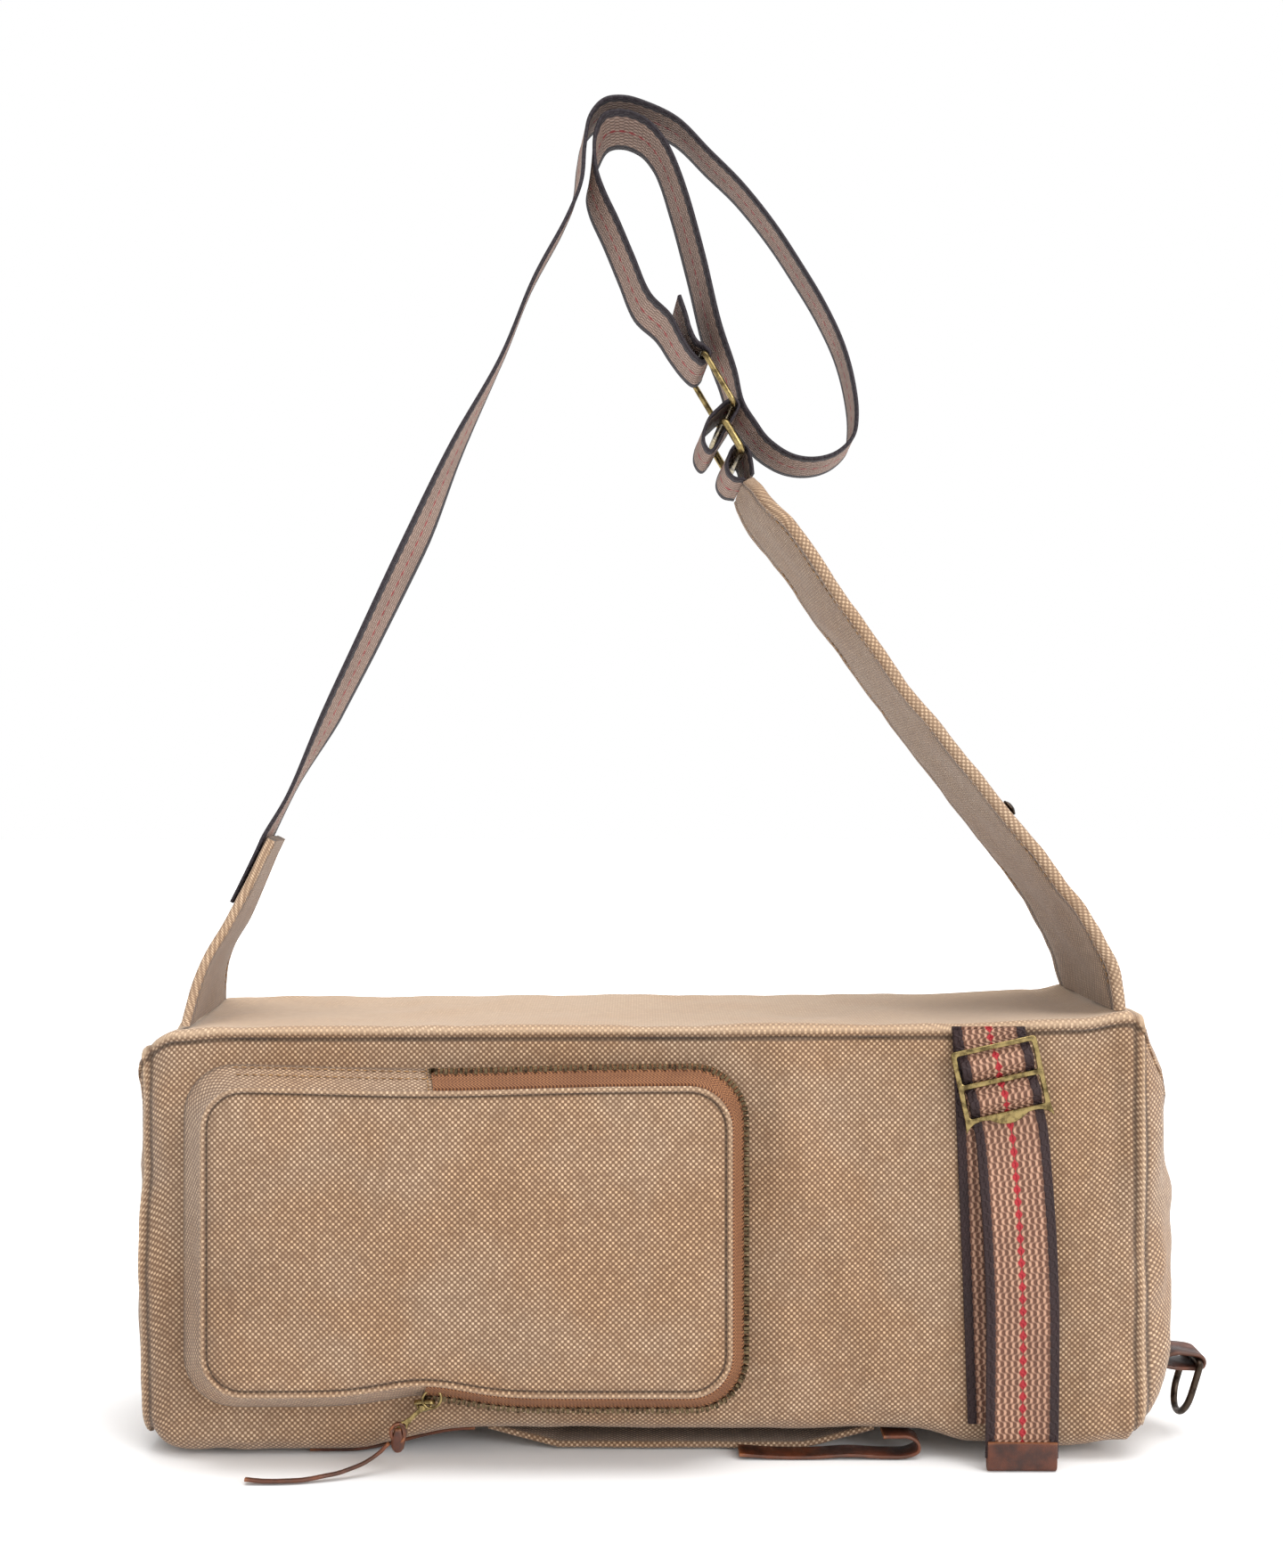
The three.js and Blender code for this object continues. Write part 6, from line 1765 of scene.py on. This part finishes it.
class SlingBagColours(bpy.types.PropertyGroup):
    canvas_ground: colour("Canvas ground", "Brown between the canvas's yarn crossings", "#6f5540")
    # The yarn colour is also the colour of the painted highlight on the canvas's ridges and upward faces.
    canvas_yarn: colour("Canvas yarn", "Pale crossings of the canvas's yarns", "#d0b496")
    canvas_faded: colour("Canvas faded", "Tone of rubbed patches of canvas", "#b0a496")
    # Colour of the painted shade in the canvas's seam grooves.
    canvas_seam_shade: colour("Canvas seam", "Dark lines along the canvas's seams", "#3d2c1f")
    band_main: colour("Band field", "Floats of the front band", "#b98f76")
    band_shade: colour("Band shade", "Ground between the front band's floats", "#5e3a28")
    band_edge: colour("Band edge", "Selvedges of the front band", "#240a0c")
    band_line: colour("Band line", "Diamonds along the front band", "#a01622")
    strap_main: colour("Strap field", "Floats of the strap's webbing", "#ad9384")
    strap_shade: colour("Strap shade", "Ground of the strap's webbing", "#6a5246")
    strap_edge: colour("Strap edge", "Selvedges of the strap's webbing", "#1f151d")
    strap_line: colour("Strap line", "Line along the strap's webbing", "#8a2a2a")
    tape_main: colour("Tape ribs", "Ribs of the zip tape", "#96653f")
    tape_shade: colour("Tape shade", "Ground of the zip tape", "#552f1a")
    leather_main: colour("Leather", "Face of the leather", "#5c2b14")
    leather_dark: colour("Leather dark", "Darker clouds of the leather", "#2c1208")
    leather_edge: colour("Leather edge", "Rubbed and cut edges of the leather", "#8e5630")
    brass_main: colour("Brass", "Yellow metal of the rings and buckle", "#9a875a")
    brass_patina: colour("Brass patina", "Olive-brown patina", "#574a30")
    bronze_main: colour("Bronze", "Dark ring and rivet", "#4a3f36")
    bronze_shade: colour("Bronze shade", "Darker stains on the ring and rivet", "#221b17")
    teeth_main: colour("Teeth", "Worn tops of the zip teeth", "#6e5f46")
    teeth_shade: colour("Teeth shade", "Dark stains of the zip teeth", "#2f241a")
    thread_main: colour("Thread", "Sewing thread", "#ab8457")
    thread_shade: colour("Thread shade", "Shaded turns of the thread", "#6c4d30")


# Operators


class BuildBody(bpy.types.Operator):
    """Lofts the canvas body with its seams, folds and bulged ends"""

    bl_idname = "sling_bag.body"
    bl_label = "Body"

    def execute(self, context):
        build_body()
        return {"FINISHED"}


class BuildPocket(bpy.types.Operator):
    """Builds the raised front pocket with its rolled edge"""

    bl_idname = "sling_bag.pocket"
    bl_label = "Front pocket"

    def execute(self, context):
        build_pocket()
        return {"FINISHED"}


class BuildPocketZip(bpy.types.Operator):
    """Builds the pocket's zip tape and teeth"""

    bl_idname = "sling_bag.pocket_zip"
    bl_label = "Pocket zip"

    def execute(self, context):
        build_pocket_zip()
        return {"FINISHED"}


class BuildSlider(bpy.types.Operator):
    """Builds the zip slider with its bail and pull"""

    bl_idname = "sling_bag.slider"
    bl_label = "Zip slider"

    def execute(self, context):
        build_slider()
        return {"FINISHED"}


class BuildThong(bpy.types.Operator):
    """Builds the leather thong and its knot"""

    bl_idname = "sling_bag.thong"
    bl_label = "Leather thong"

    def execute(self, context):
        build_thong()
        return {"FINISHED"}


class BuildBand(bpy.types.Operator):
    """Builds the two layers of the front band and its leather tip"""

    bl_idname = "sling_bag.band"
    bl_label = "Front band"

    def execute(self, context):
        build_band()
        return {"FINISHED"}


class BuildBuckle(bpy.types.Operator):
    """Builds the three-bar buckle of the front band"""

    bl_idname = "sling_bag.buckle"
    bl_label = "Buckle"

    def execute(self, context):
        build_buckle()
        return {"FINISHED"}


class BuildSlipPocket(bpy.types.Operator):
    """Builds the open slip pocket under the bag"""

    bl_idname = "sling_bag.slip_pocket"
    bl_label = "Slip pocket"

    def execute(self, context):
        build_slip_pocket()
        return {"FINISHED"}


class BuildBaseLeather(bpy.types.Operator):
    """Builds the two leather strips under the bag"""

    bl_idname = "sling_bag.base_leather"
    bl_label = "Leather under the bag"

    def execute(self, context):
        build_base_leather()
        return {"FINISHED"}


class BuildEndRing(bpy.types.Operator):
    """Builds the leather loop on the right end and its D-ring"""

    bl_idname = "sling_bag.end_ring"
    bl_label = "End ring"

    def execute(self, context):
        build_ring_tab()
        build_d_ring()
        return {"FINISHED"}


class BuildLeftTab(bpy.types.Operator):
    """Builds the short canvas tab on the left of the top"""

    bl_idname = "sling_bag.left_tab"
    bl_label = "Left tab"

    def execute(self, context):
        build_left_tab()
        return {"FINISHED"}


class BuildShoulderStrap(bpy.types.Operator):
    """Builds the padded canvas strap and its rivet"""

    bl_idname = "sling_bag.shoulder_strap"
    bl_label = "Padded strap"

    def execute(self, context):
        build_shoulder_strap()
        build_rivet()
        return {"FINISHED"}


class BuildStrapWebbing(bpy.types.Operator):
    """Builds the long strand of webbing and the two short webbing loops"""

    bl_idname = "sling_bag.strap_webbing"
    bl_label = "Strap webbing"

    def execute(self, context):
        build_strap_webbing()
        build_webbing_loops()
        return {"FINISHED"}


class BuildStrapRings(bpy.types.Operator):
    """Builds the two bent wire rings of the strap"""

    bl_idname = "sling_bag.strap_rings"
    bl_label = "Strap rings"

    def execute(self, context):
        build_strap_rings()
        return {"FINISHED"}


class BuildMainZip(bpy.types.Operator):
    """Builds the closed zip across the back"""

    bl_idname = "sling_bag.main_zip"
    bl_label = "Main zip"

    def execute(self, context):
        build_main_zip()
        return {"FINISHED"}


class BuildStitches(bpy.types.Operator):
    """Sews the stitch rows of the pocket, straps and zips"""

    bl_idname = "sling_bag.stitches"
    bl_label = "Stitches"

    def execute(self, context):
        build_stitches()
        return {"FINISHED"}


class BuildStage(bpy.types.Operator):
    """Sets up the floor, soft light and the photograph's camera"""

    bl_idname = "sling_bag.stage"
    bl_label = "Stage"

    def execute(self, context):
        build_stage()
        return {"FINISHED"}


OPERATORS = (
    BuildStage,
    BuildBody,
    BuildPocket,
    BuildPocketZip,
    BuildSlider,
    BuildThong,
    BuildBand,
    BuildBuckle,
    BuildSlipPocket,
    BuildBaseLeather,
    BuildEndRing,
    BuildLeftTab,
    BuildShoulderStrap,
    BuildStrapWebbing,
    BuildStrapRings,
    BuildMainZip,
    BuildStitches,
)


class SlingBagPanel(bpy.types.Panel):
    """Sizes, colours and steps of the sling bag"""

    bl_idname = "VIEW3D_PT_sling_bag"
    bl_label = "Sling bag"
    bl_space_type = "VIEW_3D"
    bl_region_type = "UI"
    bl_category = "Sling bag"

    def draw(self, context):
        for settings in (context.scene.sling_bag_sizes, context.scene.sling_bag_colours):
            for name in settings.bl_rna.properties.keys():
                if name not in ("rna_type", "name"):
                    self.layout.prop(settings, name)
        for operator in OPERATORS:
            self.layout.operator(operator.bl_idname)


CLASSES = (SlingBagSizes, SlingBagColours, *OPERATORS, SlingBagPanel)


def register():
    for cls in CLASSES:
        bpy.utils.register_class(cls)
    bpy.types.Scene.sling_bag_sizes = bpy.props.PointerProperty(type=SlingBagSizes)
    bpy.types.Scene.sling_bag_colours = bpy.props.PointerProperty(type=SlingBagColours)


def unregister():
    del bpy.types.Scene.sling_bag_colours
    del bpy.types.Scene.sling_bag_sizes
    for cls in reversed(CLASSES):
        bpy.utils.unregister_class(cls)


def main():
    register()
    for operator in OPERATORS:
        group, name = operator.bl_idname.split(".")
        getattr(getattr(bpy.ops, group), name)()
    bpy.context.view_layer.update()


if __name__ == "__main__":
    main()
